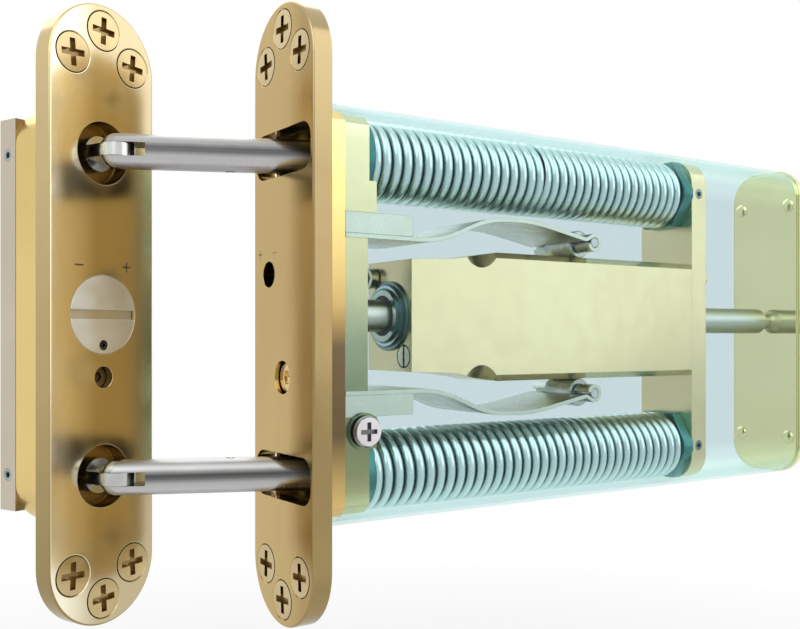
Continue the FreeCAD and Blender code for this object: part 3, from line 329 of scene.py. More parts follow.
# Plate screws: brass, countersunk, cross recess, six to a plate with their heads level.
# Three stand at each end, the middle one further out; each was driven home by hand.
SCREW_HEAD_R = 5.95 * MM
SCREW_SHANK_R = 2.5 * MM
SCREW_RECESS_LENGTH = 8.4 * MM
SCREW_RECESS_WIDTH = 2.0 * MM
SCREW_RECESS_DEPTH = 1.7 * MM
SCREW_END_INSET = 8.2 * MM
SCREW_PAIR_INSET = 17.4 * MM
SCREW_PAIR_ACROSS = 11.4 * MM
SCREW_SIDES = 48
SCREW_TURN = 0.10
SCREW_SEED = 4


def new_tree(name, inputs):
    tree = bpy.data.node_groups.new(name, "GeometryNodeTree")
    for label, kind in inputs:
        tree.interface.new_socket(name=label, in_out="INPUT", socket_type=kind)
    tree.interface.new_socket(name="Made", in_out="OUTPUT", socket_type="NodeSocketGeometry")
    return tree, tree.nodes.new("NodeGroupInput"), tree.nodes.new("NodeGroupOutput")


def linked(tree, pairs):
    for source, target in pairs:
        tree.links.new(source, target)


def vector_of(tree, x, y, z):
    node = tree.nodes.new("ShaderNodeCombineXYZ")
    for socket, value in zip(node.inputs, (x, y, z)):
        if isinstance(value, (int, float)):
            socket.default_value = value
        else:
            tree.links.new(value, socket)
    return node.outputs["Vector"]


def screw_tree():
    tree, start, end = new_tree("countersunk_screws", (
        ("Places", "NodeSocketGeometry"), ("Head radius", "NodeSocketFloat"),
        ("Shank radius", "NodeSocketFloat"), ("Length", "NodeSocketFloat"),
        ("Recess length", "NodeSocketFloat"), ("Recess width", "NodeSocketFloat"),
        ("Recess depth", "NodeSocketFloat"), ("Seed", "NodeSocketInt"), ("Material", "NodeSocketMaterial")))
    given = start.outputs
    head_depth = computed(tree, "SUBTRACT", given["Head radius"], given["Shank radius"])
    head = tree.nodes.new("GeometryNodeMeshCone")
    head.inputs["Vertices"].default_value = SCREW_SIDES
    shank = tree.nodes.new("GeometryNodeMeshCone")
    shank.inputs["Vertices"].default_value = SCREW_SIDES
    lowered = tree.nodes.new("GeometryNodeTransform")
    cut = tree.nodes.new("GeometryNodeMeshBoolean")
    cut.operation = "DIFFERENCE"
    cut.solver = "EXACT"
    screw = tree.nodes.new("GeometryNodeJoinGeometry")
    recess_height = computed(tree, "MULTIPLY", given["Recess depth"], 2.0)
    for across, down in (("Recess length", "Recess width"), ("Recess width", "Recess length")):
        bar = tree.nodes.new("GeometryNodeMeshCube")
        linked(tree, ((vector_of(tree, given[across], given[down], recess_height), bar.inputs["Size"]),
                      (bar.outputs["Mesh"], cut.inputs["Mesh 2"])))
    turn = tree.nodes.new("FunctionNodeRandomValue")
    turn.data_type = "FLOAT"
    low, high = [socket for socket in turn.inputs if socket.name in ("Min", "Max") and socket.type == "VALUE"]
    low.default_value = -SCREW_TURN
    high.default_value = SCREW_TURN
    about = tree.nodes.new("FunctionNodeAxisAngleToRotation")
    about.inputs["Axis"].default_value = (0, 0, 1)
    drawn = [socket for socket in turn.outputs if socket.type == "VALUE" and socket.enabled][0]
    copies = tree.nodes.new("GeometryNodeInstanceOnPoints")
    real = tree.nodes.new("GeometryNodeRealizeInstances")
    paint = tree.nodes.new("GeometryNodeSetMaterial")
    linked(tree, (
        (given["Head radius"], head.inputs["Radius Bottom"]),
        (given["Shank radius"], head.inputs["Radius Top"]),
        (head_depth, head.inputs["Depth"]),
        (given["Shank radius"], shank.inputs["Radius Bottom"]),
        (given["Shank radius"], shank.inputs["Radius Top"]),
        (computed(tree, "SUBTRACT", given["Length"], head_depth), shank.inputs["Depth"]),
        (shank.outputs["Mesh"], lowered.inputs["Geometry"]),
        (vector_of(tree, 0.0, 0.0, head_depth), lowered.inputs["Translation"]),
        (head.outputs["Mesh"], cut.inputs["Mesh 1"]),
        (cut.outputs["Mesh"], screw.inputs["Geometry"]),
        (lowered.outputs["Geometry"], screw.inputs["Geometry"]),
        (given["Seed"], turn.inputs["Seed"]),
        (drawn, about.inputs["Angle"]),
        (given["Places"], copies.inputs["Points"]),
        (screw.outputs["Geometry"], copies.inputs["Instance"]),
        (about.outputs["Rotation"], copies.inputs["Rotation"]),
        (copies.outputs["Instances"], real.inputs["Geometry"]),
        (real.outputs["Geometry"], paint.inputs["Geometry"]),
        (given["Material"], paint.inputs["Material"]),
        (paint.outputs["Geometry"], end.inputs["Made"])))
    return tree


# Runs a tree on a set of points or a path, and keeps what it makes as a plain mesh
def made_by(tree, name, points, edges, values):
    mesh = bpy.data.meshes.new(name)
    mesh.from_pydata(points, edges, [])
    piece = shown(name, mesh)
    modifier = piece.modifiers.new("made", "NODES")
    modifier.node_group = tree
    sockets = {item.name: item.identifier for item in tree.interface.items_tree if item.in_out == "INPUT"}
    for label, value in values.items():
        modifier[sockets[label]] = value
    graph = bpy.context.evaluated_depsgraph_get()
    made = bpy.data.meshes.new_from_object(piece.evaluated_get(graph))
    piece.modifiers.clear()
    piece.data = made
    return piece


# The turn and place of a plate's own frame: across, up, and into the plate
def plate_frame(face, outward):
    inward = -outward
    across = UP.cross(inward)
    middle = Vector((face.x, face.y, 0.0))
    return Matrix.Translation(middle) @ Matrix((across, UP, inward)).transposed().to_4x4()


def plate_screws(name, node, body, face, outward, material):
    places = []
    for end in (1, -1):
        places.append((0.0, end * (plate_half - SCREW_END_INSET), 0.0))
        for side in (1, -1):
            places.append((side * SCREW_PAIR_ACROSS, end * (plate_half - SCREW_PAIR_INSET), 0.0))
    piece = made_by(screw_tree(), name, places, [], {
        "Head radius": SCREW_HEAD_R, "Shank radius": SCREW_SHANK_R, "Length": plate_thick,
        "Recess length": SCREW_RECESS_LENGTH, "Recess width": SCREW_RECESS_WIDTH,
        "Recess depth": SCREW_RECESS_DEPTH, "Seed": SCREW_SEED, "Material": material})
    piece.data.transform(plate_frame(face, outward))
    finished(piece, name, 0.1 * MM, material)
    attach(piece, body)
    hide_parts(node)


screw_paint = clouded((0.62, 0.50, 0.27), (0.52, 0.40, 0.20), scale=40.0)
# Painted shade: the screws darken down in their cross recesses
SCREW_RECESS_SHADE = (0.30, 0.215, 0.10)
door_screw_brass = metal("door_screw_brass", recess_shaded(screw_paint, DOOR_FACE, DOOR_OUTWARD, SCREW_RECESS_SHADE),
                         smooth=0.16, rough=0.26)
plate_screws("door_faceplate_screws", "door_plate_screws", "case", DOOR_FACE, DOOR_OUTWARD, door_screw_brass)


# Plate fixing screw: turned brass with a socket head.
# It stands sunk in its counterbore below the middle, and joins the plate to the front block.
fixing_brass = metal("fixing_screw_brass", clouded((0.80, 0.66, 0.40), (0.60, 0.47, 0.26), scale=60.0),
                     smooth=0.14, rough=0.24)
dressed("plate_fixing_screw", "block_fixing_screw", "case", fixing_brass, edge=0.12 * MM)


# Front block: machined brass, brighter than the plate, clear lacquered.
# The case, the rod, the springs and the leaf springs are all carried by it.
BLOCK_HALF_HEIGHT = 62.0 * MM
BLOCK_GOLD_TO = -0.2 * MM
BLOCK_PALE_FROM = 0.6 * MM
# Painted light and shade by height: light at the bottom edge and over the upper half, with a dark band below
# the middle; gold outside the case, paler and greener where the case covers it
BLOCK_GOLD_LIGHT_AND_SHADE = ((0.0, (0.74, 0.53, 0.20)), (0.08, (0.52, 0.37, 0.14)), (0.20, (0.140, 0.100, 0.050)),
              (0.42, (0.120, 0.086, 0.046)), (0.52, (0.40, 0.28, 0.107)), (0.80, (0.74, 0.58, 0.225)),
              (1.0, (0.90, 0.75, 0.32)))
BLOCK_PALE_LIGHT_AND_SHADE = ((0.0, (0.74, 0.68, 0.36)), (0.10, (0.40, 0.38, 0.18)), (0.22, (0.235, 0.26, 0.148)),
              (0.42, (0.28, 0.31, 0.195)), (0.60, (0.58, 0.53, 0.31)), (0.85, (0.79, 0.71, 0.43)),
              (1.0, (0.85, 0.77, 0.47)))
# Painted shade: inside the key bore's radius the brass is painted dark blue-grey, as the hole looks in shadow
KEY_BORE_SHADE = (0.42, 0.47, 0.53)
KEY_BORE_R = 4.9 * MM
valve_low, valve_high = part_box("speed_valve")
key_axis = (valve_low + valve_high) / 2
case_low, case_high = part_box("case_sleeve")


def block_paint(tree):
    outside = lit_by_height(0.0, BLOCK_HALF_HEIGHT, BLOCK_GOLD_LIGHT_AND_SHADE)(tree)
    inside = lit_by_height(0.0, BLOCK_HALF_HEIGHT, BLOCK_PALE_LIGHT_AND_SHADE)(tree)
    depth = distance_along(tree, (case_low[0], 0, 0), (1, 0, 0))
    cased = remapped(tree, depth, BLOCK_GOLD_TO, BLOCK_PALE_FROM, 0.0, 1.0)
    body = mixed(tree, cased, outside, inside)
    aside = distance_along(tree, key_axis, (0, 1, 0))
    upward = distance_along(tree, key_axis, UP)
    bored = computed(tree, "LESS_THAN", distance_of(tree, aside, upward), KEY_BORE_R)
    return mixed(tree, bored, body, KEY_BORE_SHADE)


block_brass = metal("bright_block_brass", block_paint, smooth=0.17, rough=0.22)
dressed("front_block", "front_mounting_block", "case", block_brass, edge=0.2 * MM)


# Damper: a square bar of pale brass bored for the piston, sliding on the fixed rod.
# Its cam faces above and below are ground, with a scoop milled at each edge.
INNER_BRASS = (0.78, 0.67, 0.41)
INNER_BRASS_DARK = (0.73, 0.62, 0.37)
inner_paint = clouded(INNER_BRASS, INNER_BRASS_DARK, scale=14.0)
pale_brass = metal("ground_pale_brass", inner_paint, smooth=0.20, rough=0.26)
dressed("damper_body", "damper_cylinder", "crosshead", pale_brass, edge=0.15 * MM, smooth_angle=25.0)


# Tones in turned rings by distance from an axis along the closer, used for painted light and shade at the
# steps
def ringed(axis, reach, stops):
    def paint(tree):
        aside = distance_along(tree, axis, (0, 1, 0))
        upward = distance_along(tree, axis, UP)
        return ramp(tree, remapped(tree, distance_of(tree, aside, upward), 0.0, reach, 0.0, 1.0), stops)
    return paint


gland_low, gland_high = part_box("front_gland")
gland_axis = (gland_low + gland_high) / 2
GLAND_R = (gland_high[2] - gland_low[2]) / 2
# Painted light and shade: dark rings at the steps' edges and a pale highlight ring between them
GLAND_LIGHT_AND_SHADE_RINGS = ((0.0, (0.46, 0.52, 0.47)), (0.725, (0.50, 0.56, 0.50)), (0.75, (0.06, 0.12, 0.12)),
               (0.785, (0.08, 0.15, 0.15)), (0.80, (0.52, 0.64, 0.68)), (0.865, (0.46, 0.58, 0.60)),
               (0.88, (0.06, 0.12, 0.12)), (0.905, (0.08, 0.15, 0.15)), (0.93, (0.26, 0.34, 0.31)),
               (0.975, (0.20, 0.28, 0.26)), (1.0, (0.08, 0.15, 0.15)))
gland_steel = metal("turned_gland_steel", ringed(gland_axis, GLAND_R, GLAND_LIGHT_AND_SHADE_RINGS), smooth=0.18, rough=0.28)
plug_low, plug_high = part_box("fill_plug")
PLUG_R = (plug_high[2] - plug_low[2]) / 2
# Painted shade: a dark ring round the plug's rim, and darkening down in its slot, on its pale steel face
PLUG_RIM_SHADE_TONES = ((0.0, (0.60, 0.60, 0.46)), (0.84, (0.66, 0.66, 0.50)), (0.89, (0.05, 0.10, 0.08)),
              (1.0, (0.04, 0.08, 0.07)))
PLUG_SLOT_SHADE = (0.05, 0.10, 0.08)
PLUG_FULL_DEPTH = 0.6 * MM
plug_paint = recess_shaded(ringed((plug_low + plug_high) / 2, PLUG_R, PLUG_RIM_SHADE_TONES), (plug_low[0], 0, 0), (-1, 0, 0),
                    PLUG_SLOT_SHADE, PLUG_FULL_DEPTH)
plug_steel = metal("slotted_plug_steel", plug_paint, smooth=0.18, rough=0.28)
small_steel = metal("small_screw_steel", clouded((0.40, 0.46, 0.45), (0.22, 0.27, 0.27), scale=120.0),
                    smooth=0.14, rough=0.24)
valve_steel = metal("valve_cap_steel", clouded((0.62, 0.60, 0.48), (0.50, 0.48, 0.38), scale=90.0),
                    smooth=0.14, rough=0.24)
dressed("front_gland", "stepped_gland", "crosshead", gland_steel, edge=0.15 * MM)
dressed("speed_valve", "speed_valve_cap", "speed_valve", valve_steel, edge=0.15 * MM)
dressed("fill_plug", "slotted_plug", "crosshead", plug_steel, edge=0.2 * MM)
dressed("relief_plug", "relief_bolt", "crosshead", pale_brass, edge=0.15 * MM)


# Damper rod: ground steel, fixed in the front block and necked into the end plate.
# The cylinder slides along it; painted light lies along its upper side, with painted shade below.
rod_low, rod_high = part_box("piston_rod")
ROD_R = (rod_high[2] - rod_low[2]) / 2
ROD_LIGHT_TONES = ((0.0, (0.24, 0.25, 0.20)), (0.22, (0.46, 0.47, 0.40)), (0.45, (0.58, 0.60, 0.52)),
             (0.62, (0.66, 0.68, 0.62)), (0.80, (0.46, 0.48, 0.42)), (1.0, (0.26, 0.27, 0.23)))
rod_steel = metal("ground_rod_steel", lit_by_height(0.0, ROD_R, ROD_LIGHT_TONES), smooth=0.28, rough=0.34)
dressed("piston_rod", "damper_rod", "case", rod_steel, edge=0.2 * MM)


# Seals and piston: turned brass with a ring in its groove, and moulded black rubber.
# They are out of sight in the cylinder; the seals are pressed into its ends.
seal_rubber, seal_tree, seal_shader = new_material("seal_rubber", metallic=0.0, roughness=0.55)
seal_tree.links.new(clouded((0.03, 0.03, 0.031), (0.015, 0.015, 0.016), scale=300.0)(seal_tree),
                    seal_shader.inputs["Base Color"])
for node in ("piston_ring", "front_rod_seal", "rear_rod_seal"):
    frame["nodes"][node].data.materials.clear()
    frame["nodes"][node].data.materials.append(seal_rubber)
frame["nodes"]["piston"].data.materials.clear()
frame["nodes"]["piston"].data.materials.append(pale_brass)


# Crosshead: the moving rear bar, milled from pale brass with round corners.
# The pull rods are locked in it by grub screws, and two screws hold it to the cylinder.
dressed("crosshead", "rear_crosshead", "crosshead", pale_brass, edge=0.3 * MM)
dressed("crosshead_grub_screws", "crosshead_grubs", "crosshead", small_steel, edge=0.1 * MM)
dressed("body_screws", "damper_screws", "crosshead", small_steel, edge=0.12 * MM)


# Pull rods: bright turned steel, running through the springs into the crosshead.
# Each has a milled fork in front, with a pressed pin that takes the arm's tongue.
link_steel = metal("turned_link_steel", clouded((0.64, 0.65, 0.63), (0.46, 0.47, 0.46), scale=60.0),
                   smooth=0.14, rough=0.24)
for end in ("upper", "lower"):
    dressed(end + "_pull_rod", end + "_drawbar", "crosshead", link_steel, edge=0.2 * MM)
    dressed(end + "_link_pin", end + "_rod_pin", "crosshead", link_steel, edge=0.15 * MM)


# Spring seats: blackened steel, turned washers in front and cut hexagons behind.
# The washers lie on the front block; the hexagons' spigots centre the springs on the crosshead.
black_steel = metal("blackened_steel", clouded((0.10, 0.30, 0.29), (0.05, 0.19, 0.185), scale=60.0),
                    smooth=0.25, rough=0.4)
dressed("spring_seat_washers", "front_spring_seats", "case", black_steel, edge=0.3 * MM)
dressed("spring_retainers", "rear_spring_hexagons", "crosshead", black_steel, edge=0.3 * MM)


# Coil springs: polished steel wire, closed at both ends and pushing the crosshead back.
# Two lie end to end on the upper pull rod; one long one is on the lower.
WIRE_R = 1.75 * MM
COIL_PITCH = 4.15 * MM
CLOSED_SLACK = 1.02
CLOSED_PITCH = 2 * WIRE_R * CLOSED_SLACK
STEPS_A_TURN = 40
WIRE_SIDES = 12
CUT_DISTANCE = 1e-7


def wire_tree():
    tree, start, end = new_tree("wire_sweep", (
        ("Path", "NodeSocketGeometry"), ("Wire radius", "NodeSocketFloat"),
        ("Material", "NodeSocketMaterial")))
    curve = tree.nodes.new("GeometryNodeMeshToCurve")
    profile = tree.nodes.new("GeometryNodeCurvePrimitiveCircle")
    profile.inputs["Resolution"].default_value = WIRE_SIDES
    sweep = tree.nodes.new("GeometryNodeCurveToMesh")
    sweep.inputs["Fill Caps"].default_value = True
    smooth = tree.nodes.new("GeometryNodeSetShadeSmooth")
    real = tree.nodes.new("GeometryNodeRealizeInstances")
    paint = tree.nodes.new("GeometryNodeSetMaterial")
    linked(tree, (
        (start.outputs["Path"], curve.inputs["Mesh"]),
        (start.outputs["Wire radius"], profile.inputs["Radius"]),
        (curve.outputs["Curve"], sweep.inputs["Curve"]),
        (profile.outputs["Curve"], sweep.inputs["Profile Curve"]),
        (sweep.outputs["Mesh"], smooth.inputs["Geometry"]),
        (smooth.outputs["Geometry"], real.inputs["Geometry"]),
        (real.outputs["Geometry"], paint.inputs["Geometry"]),
        (start.outputs["Material"], paint.inputs["Material"]),
        (paint.outputs["Geometry"], end.inputs["Made"])))
    return tree


# The wire's middle line, with a turn laid close at each end for grinding flat
def coil_path(start_x, end_x, level, radius, first_angle):
    open_length = end_x - start_x - 2 * CLOSED_PITCH
    open_turns = round(open_length / COIL_PITCH)
    pitch = open_length / open_turns
    turns = open_turns + 2
    points = []
    place = start_x
    for step in range(turns * STEPS_A_TURN + 1):
        turn = step / STEPS_A_TURN
        angle = first_angle + 2 * pi * turn
        points.append((place, radius * cos(angle), level + radius * sin(angle)))
        advance = CLOSED_PITCH if turn < 1 or turn >= turns - 1 else pitch
        place += advance / STEPS_A_TURN
    return points


def ground_flat(mesh, place, direction):
    shape = bmesh.new()
    shape.from_mesh(mesh)
    geometry = shape.verts[:] + shape.edges[:] + shape.faces[:]
    cut = bmesh.ops.bisect_plane(shape, geom=geometry, dist=CUT_DISTANCE, plane_co=place,
                                 plane_no=direction, clear_outer=True)
    rim = [part for part in cut["geom_cut"] if isinstance(part, bmesh.types.BMEdge)]
    made = bmesh.ops.holes_fill(shape, edges=rim, sides=0)
    for face in made["faces"]:
        face.smooth = False
    shape.to_mesh(mesh)
    shape.free()


def spring(name, node, start_x, end_x, level, radius, material, first_angle=0.0):
    points = coil_path(start_x, end_x, level, radius, first_angle)
    edges = [(i, i + 1) for i in range(len(points) - 1)]
    piece = made_by(wire_tree(), name, points, edges, {"Wire radius": WIRE_R, "Material": material})
    ground_flat(piece.data, (start_x, 0, 0), (-1, 0, 0))
    ground_flat(piece.data, (end_x, 0, 0), (1, 0, 0))
    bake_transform(piece)
    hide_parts(node)


upper_low, upper_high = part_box("upper_springs")
upper_level = (upper_high[2] + upper_low[2]) / 2
coil_r = (upper_high[2] - upper_low[2]) / 2 - WIRE_R
seam_x = (upper_low[0] + upper_high[0]) / 2
COIL_SHADE_REACH = 0.2 * MM
COIL_LIGHT_AND_SHADE = ((0.0, (0.04, 0.13, 0.13)), (0.35, (0.30, 0.42, 0.42)), (0.70, (0.56, 0.70, 0.69)),
              (1.0, (0.76, 0.88, 0.88)))


# Painted highlight on the outside of each turn and painted shade down in the gaps, by distance from the pull
# rod
def coil_paint(level):
    def paint(tree):
        across = distance_along(tree, (0, 0, 0), (0, 1, 0))
        height = distance_along(tree, (0, 0, level), UP)
        reach = distance_of(tree, across, height)
        out = remapped(tree, reach, coil_r - COIL_SHADE_REACH, coil_r + WIRE_R, 0.0, 1.0)
        return ramp(tree, out, COIL_LIGHT_AND_SHADE)
    return paint


upper_wire = metal("upper_spring_wire", coil_paint(upper_level), smooth=0.18, rough=0.24)
lower_wire = metal("lower_spring_wire", coil_paint(-upper_level), smooth=0.18, rough=0.24)
SEAM_ANGLE = 0.75
spring("upper_front_spring", "upper_springs", upper_low[0], seam_x, upper_level, coil_r, upper_wire,
       SEAM_ANGLE)
spring("upper_rear_spring", "upper_springs", seam_x, upper_high[0], upper_level, coil_r, upper_wire,
       SEAM_ANGLE)
spring("lower_long_spring", "lower_spring", upper_low[0], upper_high[0], -upper_level, coil_r, lower_wire)


# Leaf springs: satin spring-steel strips, bent, and curled round the roller pins.
# A block and two screws clamp each to the front block; the ground rollers run on the cam faces.
leaf_steel = metal("satin_leaf_steel", clouded((0.61, 0.64, 0.545), (0.57, 0.60, 0.51), scale=30.0),
                   smooth=0.26, rough=0.34)
roller_paint = clouded((0.60, 0.61, 0.56), (0.30, 0.32, 0.29), scale=160.0)
roller_steel = metal("ground_roller_steel", roller_paint, smooth=0.14, rough=0.24)
for end in ("upper", "lower"):
    dressed(end + "_leaf", end + "_leaf_spring", "case", leaf_steel, edge=0.12 * MM)
    dressed(end + "_leaf_clamp", end + "_clamp_block", "case", leaf_steel, edge=0.3 * MM)
    dressed(end + "_roller_pin", end + "_roller_axle", "case", link_steel, edge=0.2 * MM)
    dressed(end + "_roller", end + "_cam_roller", end + "_roller", roller_steel, edge=0.4 * MM)
dressed("leaf_clamp_screws", "clamp_screws", "case", small_steel, edge=0.12 * MM)


# End plate: polished brass, pressed into the case's rear and riveted at four places.
# The rivets' domed heads stand on its inner face.
RIVET_ACROSS = 12.0 * MM
RIVET_UP = 50.6 * MM
RIVET_HEAD_R = 2.9 * MM
RIVET_HEAD_RISE = 1.3 * MM
RIVET_SIDES = 32
RIVET_RINGS = 16
inner_face_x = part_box("end_plate")[0][0]
end_paint = clouded((0.90, 0.82, 0.49), (0.82, 0.74, 0.42), scale=12.0)
polished_brass = metal("polished_end_brass", end_paint, smooth=0.05, rough=0.09)
dressed("end_plate", "rear_end_plate", "case", polished_brass, edge=0.3 * MM)


def rivet_tree():
    tree, start, end = new_tree("domed_rivets", (
        ("Places", "NodeSocketGeometry"), ("Head radius", "NodeSocketFloat"), ("Rise", "NodeSocketFloat"),
        ("Material", "NodeSocketMaterial")))
    given = start.outputs
    ball = tree.nodes.new("GeometryNodeMeshUVSphere")
    ball.inputs["Segments"].default_value = RIVET_SIDES
    ball.inputs["Rings"].default_value = RIVET_RINGS
    ball.inputs["Radius"].default_value = 1.0
    flat = tree.nodes.new("GeometryNodeTransform")
    copies = tree.nodes.new("GeometryNodeInstanceOnPoints")
    real = tree.nodes.new("GeometryNodeRealizeInstances")
    paint = tree.nodes.new("GeometryNodeSetMaterial")
    linked(tree, (
        (ball.outputs["Mesh"], flat.inputs["Geometry"]),
        (vector_of(tree, given["Rise"], given["Head radius"], given["Head radius"]), flat.inputs["Scale"]),
        (given["Places"], copies.inputs["Points"]),
        (flat.outputs["Geometry"], copies.inputs["Instance"]),
        (copies.outputs["Instances"], real.inputs["Geometry"]),
        (real.outputs["Geometry"], paint.inputs["Geometry"]),
        (given["Material"], paint.inputs["Material"]),
        (paint.outputs["Geometry"], end.inputs["Made"])))
    return tree


rivet_places = [(inner_face_x, side * RIVET_ACROSS, end * RIVET_UP) for side in (1, -1) for end in (1, -1)]
rivets = made_by(rivet_tree(), "rear_rivets", rivet_places, [], {
    "Head radius": RIVET_HEAD_R, "Rise": RIVET_HEAD_RISE, "Material": polished_brass})
finished(rivets, "rear_rivets", 0.0, polished_brass)
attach(rivets, "case")
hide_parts("end_plate_rivets")


# Case: a clear moulded tube with rounded edges, faintly cyan.
# The front block and the end plate close it; a screw at the near side holds it to the block.
CASE_WALL = 1.1 * MM
CASE_CORNER = 12.0 * MM
CORNER_STEPS = 14
CASE_TINT = (0.872, 0.915, 0.924)
CASE_RIM_TINT = (0.94, 1.0, 0.995)
CASE_ROUND_FADE = 5.0 * MM
CASE_SHEEN = (0.70, 0.95, 0.94, 1.0)
CASE_ROUGHNESS = 0.08
CASE_IOR = 1.46
CASE_GRAZE = (0.45, 0.75)
CASE_FACE_COVER = 0.012
CASE_ROUND_COVER = 0.06
CASE_EDGE_COVER = 0.5


def clear_case():
    material, tree, shader = new_material("clear_cyan_case", metallic=0.0, roughness=CASE_ROUGHNESS)
    shader.inputs["Base Color"].default_value = CASE_SHEEN
    shader.inputs["IOR"].default_value = CASE_IOR
    clear = tree.nodes.new("ShaderNodeBsdfTransparent")
    facing = tree.nodes.new("ShaderNodeLayerWeight")
    facing.inputs["Blend"].default_value = 0.5
    seen = facing.outputs["Facing"]
    # Painted highlight: the rounded top and bottom edges, found by height, are paler and carry more of the
    # pale cyan coat
    level = computed(tree, "ABSOLUTE", distance_along(tree, (0, 0, 0), UP), 0.0)
    round_start = case_high[2] - CASE_CORNER
    round_highlight = remapped(tree, level, round_start, round_start + CASE_ROUND_FADE, 0.0, 1.0)
    grazing = remapped(tree, seen, *CASE_GRAZE, 0.0, 1.0)
    paler = computed(tree, "MAXIMUM", round_highlight, grazing)
    tree.links.new(mixed(tree, paler, CASE_TINT, CASE_RIM_TINT), clear.inputs["Color"])
    cover = computed(tree, "MAXIMUM", remapped(tree, round_highlight, 0.0, 1.0, CASE_FACE_COVER, CASE_ROUND_COVER),
                     remapped(tree, seen, 0.5, 1.0, CASE_FACE_COVER, CASE_EDGE_COVER))
    mix = tree.nodes.new("ShaderNodeMixShader")
    tree.links.new(cover, mix.inputs["Fac"])
    tree.links.new(clear.outputs["BSDF"], mix.inputs[1])
    tree.links.new(shader.outputs["BSDF"], mix.inputs[2])
    tree.links.new(mix.outputs["Shader"], tree.nodes["Material Output"].inputs["Surface"])
    return material


def round_outline(half_y, half_z, corner):
    points = []
    for quarter, (side, top) in enumerate(((1, 1), (-1, 1), (-1, -1), (1, -1))):
        for step in range(CORNER_STEPS + 1):
            angle = pi / 2 * (quarter + step / CORNER_STEPS)
            points.append((side * (half_y - corner) + corner * cos(angle),
                           top * (half_z - corner) + corner * sin(angle)))
    return points


def sleeve(name, low, high):
    half_y = (high[1] - low[1]) / 2
    half_z = (high[2] - low[2]) / 2
    outer = round_outline(half_y, half_z, CASE_CORNER)
    inner = round_outline(half_y - CASE_WALL, half_z - CASE_WALL, CASE_CORNER - CASE_WALL)
    shape = bmesh.new()
    rings = []
    for x, outline in ((low[0], outer), (high[0], outer), (high[0], inner), (low[0], inner)):
        rings.append([shape.verts.new((x, y, z)) for y, z in outline])
    count = len(outer)
    for ring in range(4):
        here = rings[ring]
        following = rings[(ring + 1) % 4]
        for i in range(count):
            j = (i + 1) % count
            shape.faces.new((here[i], here[j], following[j], following[i]))
    bmesh.ops.recalc_face_normals(shape, faces=shape.faces)
    mesh = bpy.data.meshes.new(name)
    shape.to_mesh(mesh)
    shape.free()
    return shown(name, mesh)


case = finished(sleeve("clear_case", case_low, case_high), "clear_case", 0.15 * MM, clear_case())
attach(case, "case")
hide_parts("case_sleeve")


# Case fixing screw: nickelled steel, pan head with a cross recess.
# It goes through the case low on the near side, into the front block's thread.
case_screw_low, case_screw_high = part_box("case_fixing_screw")
case_screw_middle = (case_screw_low + case_screw_high) / 2
CASE_RECESS_REACH = 3.6 * MM
CASE_RECESS_DEPTH = 0.9 * MM
# Painted shade: the cross recess darkens with depth
CASE_RECESS_SHADE = (0.14, 0.14, 0.155)


def within_recess(tree):
    along = distance_along(tree, case_screw_middle, (1, 0, 0))
    upward = distance_along(tree, case_screw_middle, UP)
    return computed(tree, "LESS_THAN", distance_of(tree, along, upward), CASE_RECESS_REACH)


nickel_paint = clouded((0.63, 0.60, 0.61), (0.55, 0.52, 0.54), scale=60.0)
recess_paint = recess_shaded(nickel_paint, (0, case_screw_low[1], 0), (0, -1, 0), CASE_RECESS_SHADE,
                      CASE_RECESS_DEPTH, within_recess)
nickel = metal("nickelled_screw", recess_paint, smooth=0.22, rough=0.32)
dressed("case_fixing_screw", "case_screw", "case", nickel, edge=0.2 * MM)


# Arms: polished steel rods, ball-nosed forks at the anchor end.
# A pin holds each fork on its knuckle's tongue.
# Painted reflections by height: light above and below, a dark band along the middle of each rod
ARM_REFLECTION_TONES = ((0.0, (0.34, 0.33, 0.34)), (0.18, (0.57, 0.56, 0.57)), (0.34, (0.50, 0.50, 0.50)),
             (0.48, (0.16, 0.16, 0.16)), (0.58, (0.075, 0.075, 0.075)), (0.68, (0.16, 0.16, 0.16)),
             (0.84, (0.57, 0.57, 0.56)), (1.0, (0.46, 0.46, 0.46)))
for end in ("upper", "lower"):
    arm_low, arm_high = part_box(end + "_arm")
    arm_level = (arm_low[2] + arm_high[2]) / 2
    arm_radius = (arm_high[2] - arm_low[2]) / 2
    arm_steel = metal(end + "_arm_steel", lit_by_height(arm_level, arm_radius, ARM_REFLECTION_TONES),
                      smooth=0.26, rough=0.34)
    dressed(end + "_arm", end + "_pull_arm", end + "_arm", arm_steel, edge=0.25 * MM, smooth_angle=30.0)
    dressed(end + "_fork_pin", end + "_anchor_pin", end + "_arm", link_steel, edge=0.15 * MM)
    dressed(end + "_knuckle", end + "_shank", "anchor_bar", link_steel, edge=0.2 * MM)


# Anchor bar: square bar behind the frame's block, satin nickel, drawn and sawn square.
# Both knuckles' shanks go into it and are locked by grub screws from the side.
bar_nickel = metal("satin_nickel_bar", clouded((0.58, 0.505, 0.41), (0.55, 0.475, 0.38), scale=30.0),
                   smooth=0.30, rough=0.42, grain=(1, 1, 0.08), grain_scale=1300.0)
dressed("anchor_bar", "rear_anchor_bar", "anchor_bar", bar_nickel, edge=0.3 * MM)
dressed("bar_grub_screws", "bar_grubs", "anchor_bar", small_steel, edge=0.1 * MM)


# Anchor block and plate: the frame side's twin of the door plate, in the same brass.
# The milled block behind it is held by a sunk screw; the plate has two round holes for the arms.
ANCHOR_FACE = Vector(mounts["anchor_plate_face"]["pos_m"])
ANCHOR_OUTWARD = Vector(mounts["anchor_plate_face"]["axis"])
ANCHOR_ACROSS = UP.cross(-ANCHOR_OUTWARD)
ANCHOR_MIDDLE = ANCHOR_FACE.dot(ANCHOR_ACROSS)
ANCHOR_SHADE_FROM = ANCHOR_MIDDLE + 3 * MM
ANCHOR_SHADE_TO = ANCHOR_MIDDLE + 15 * MM
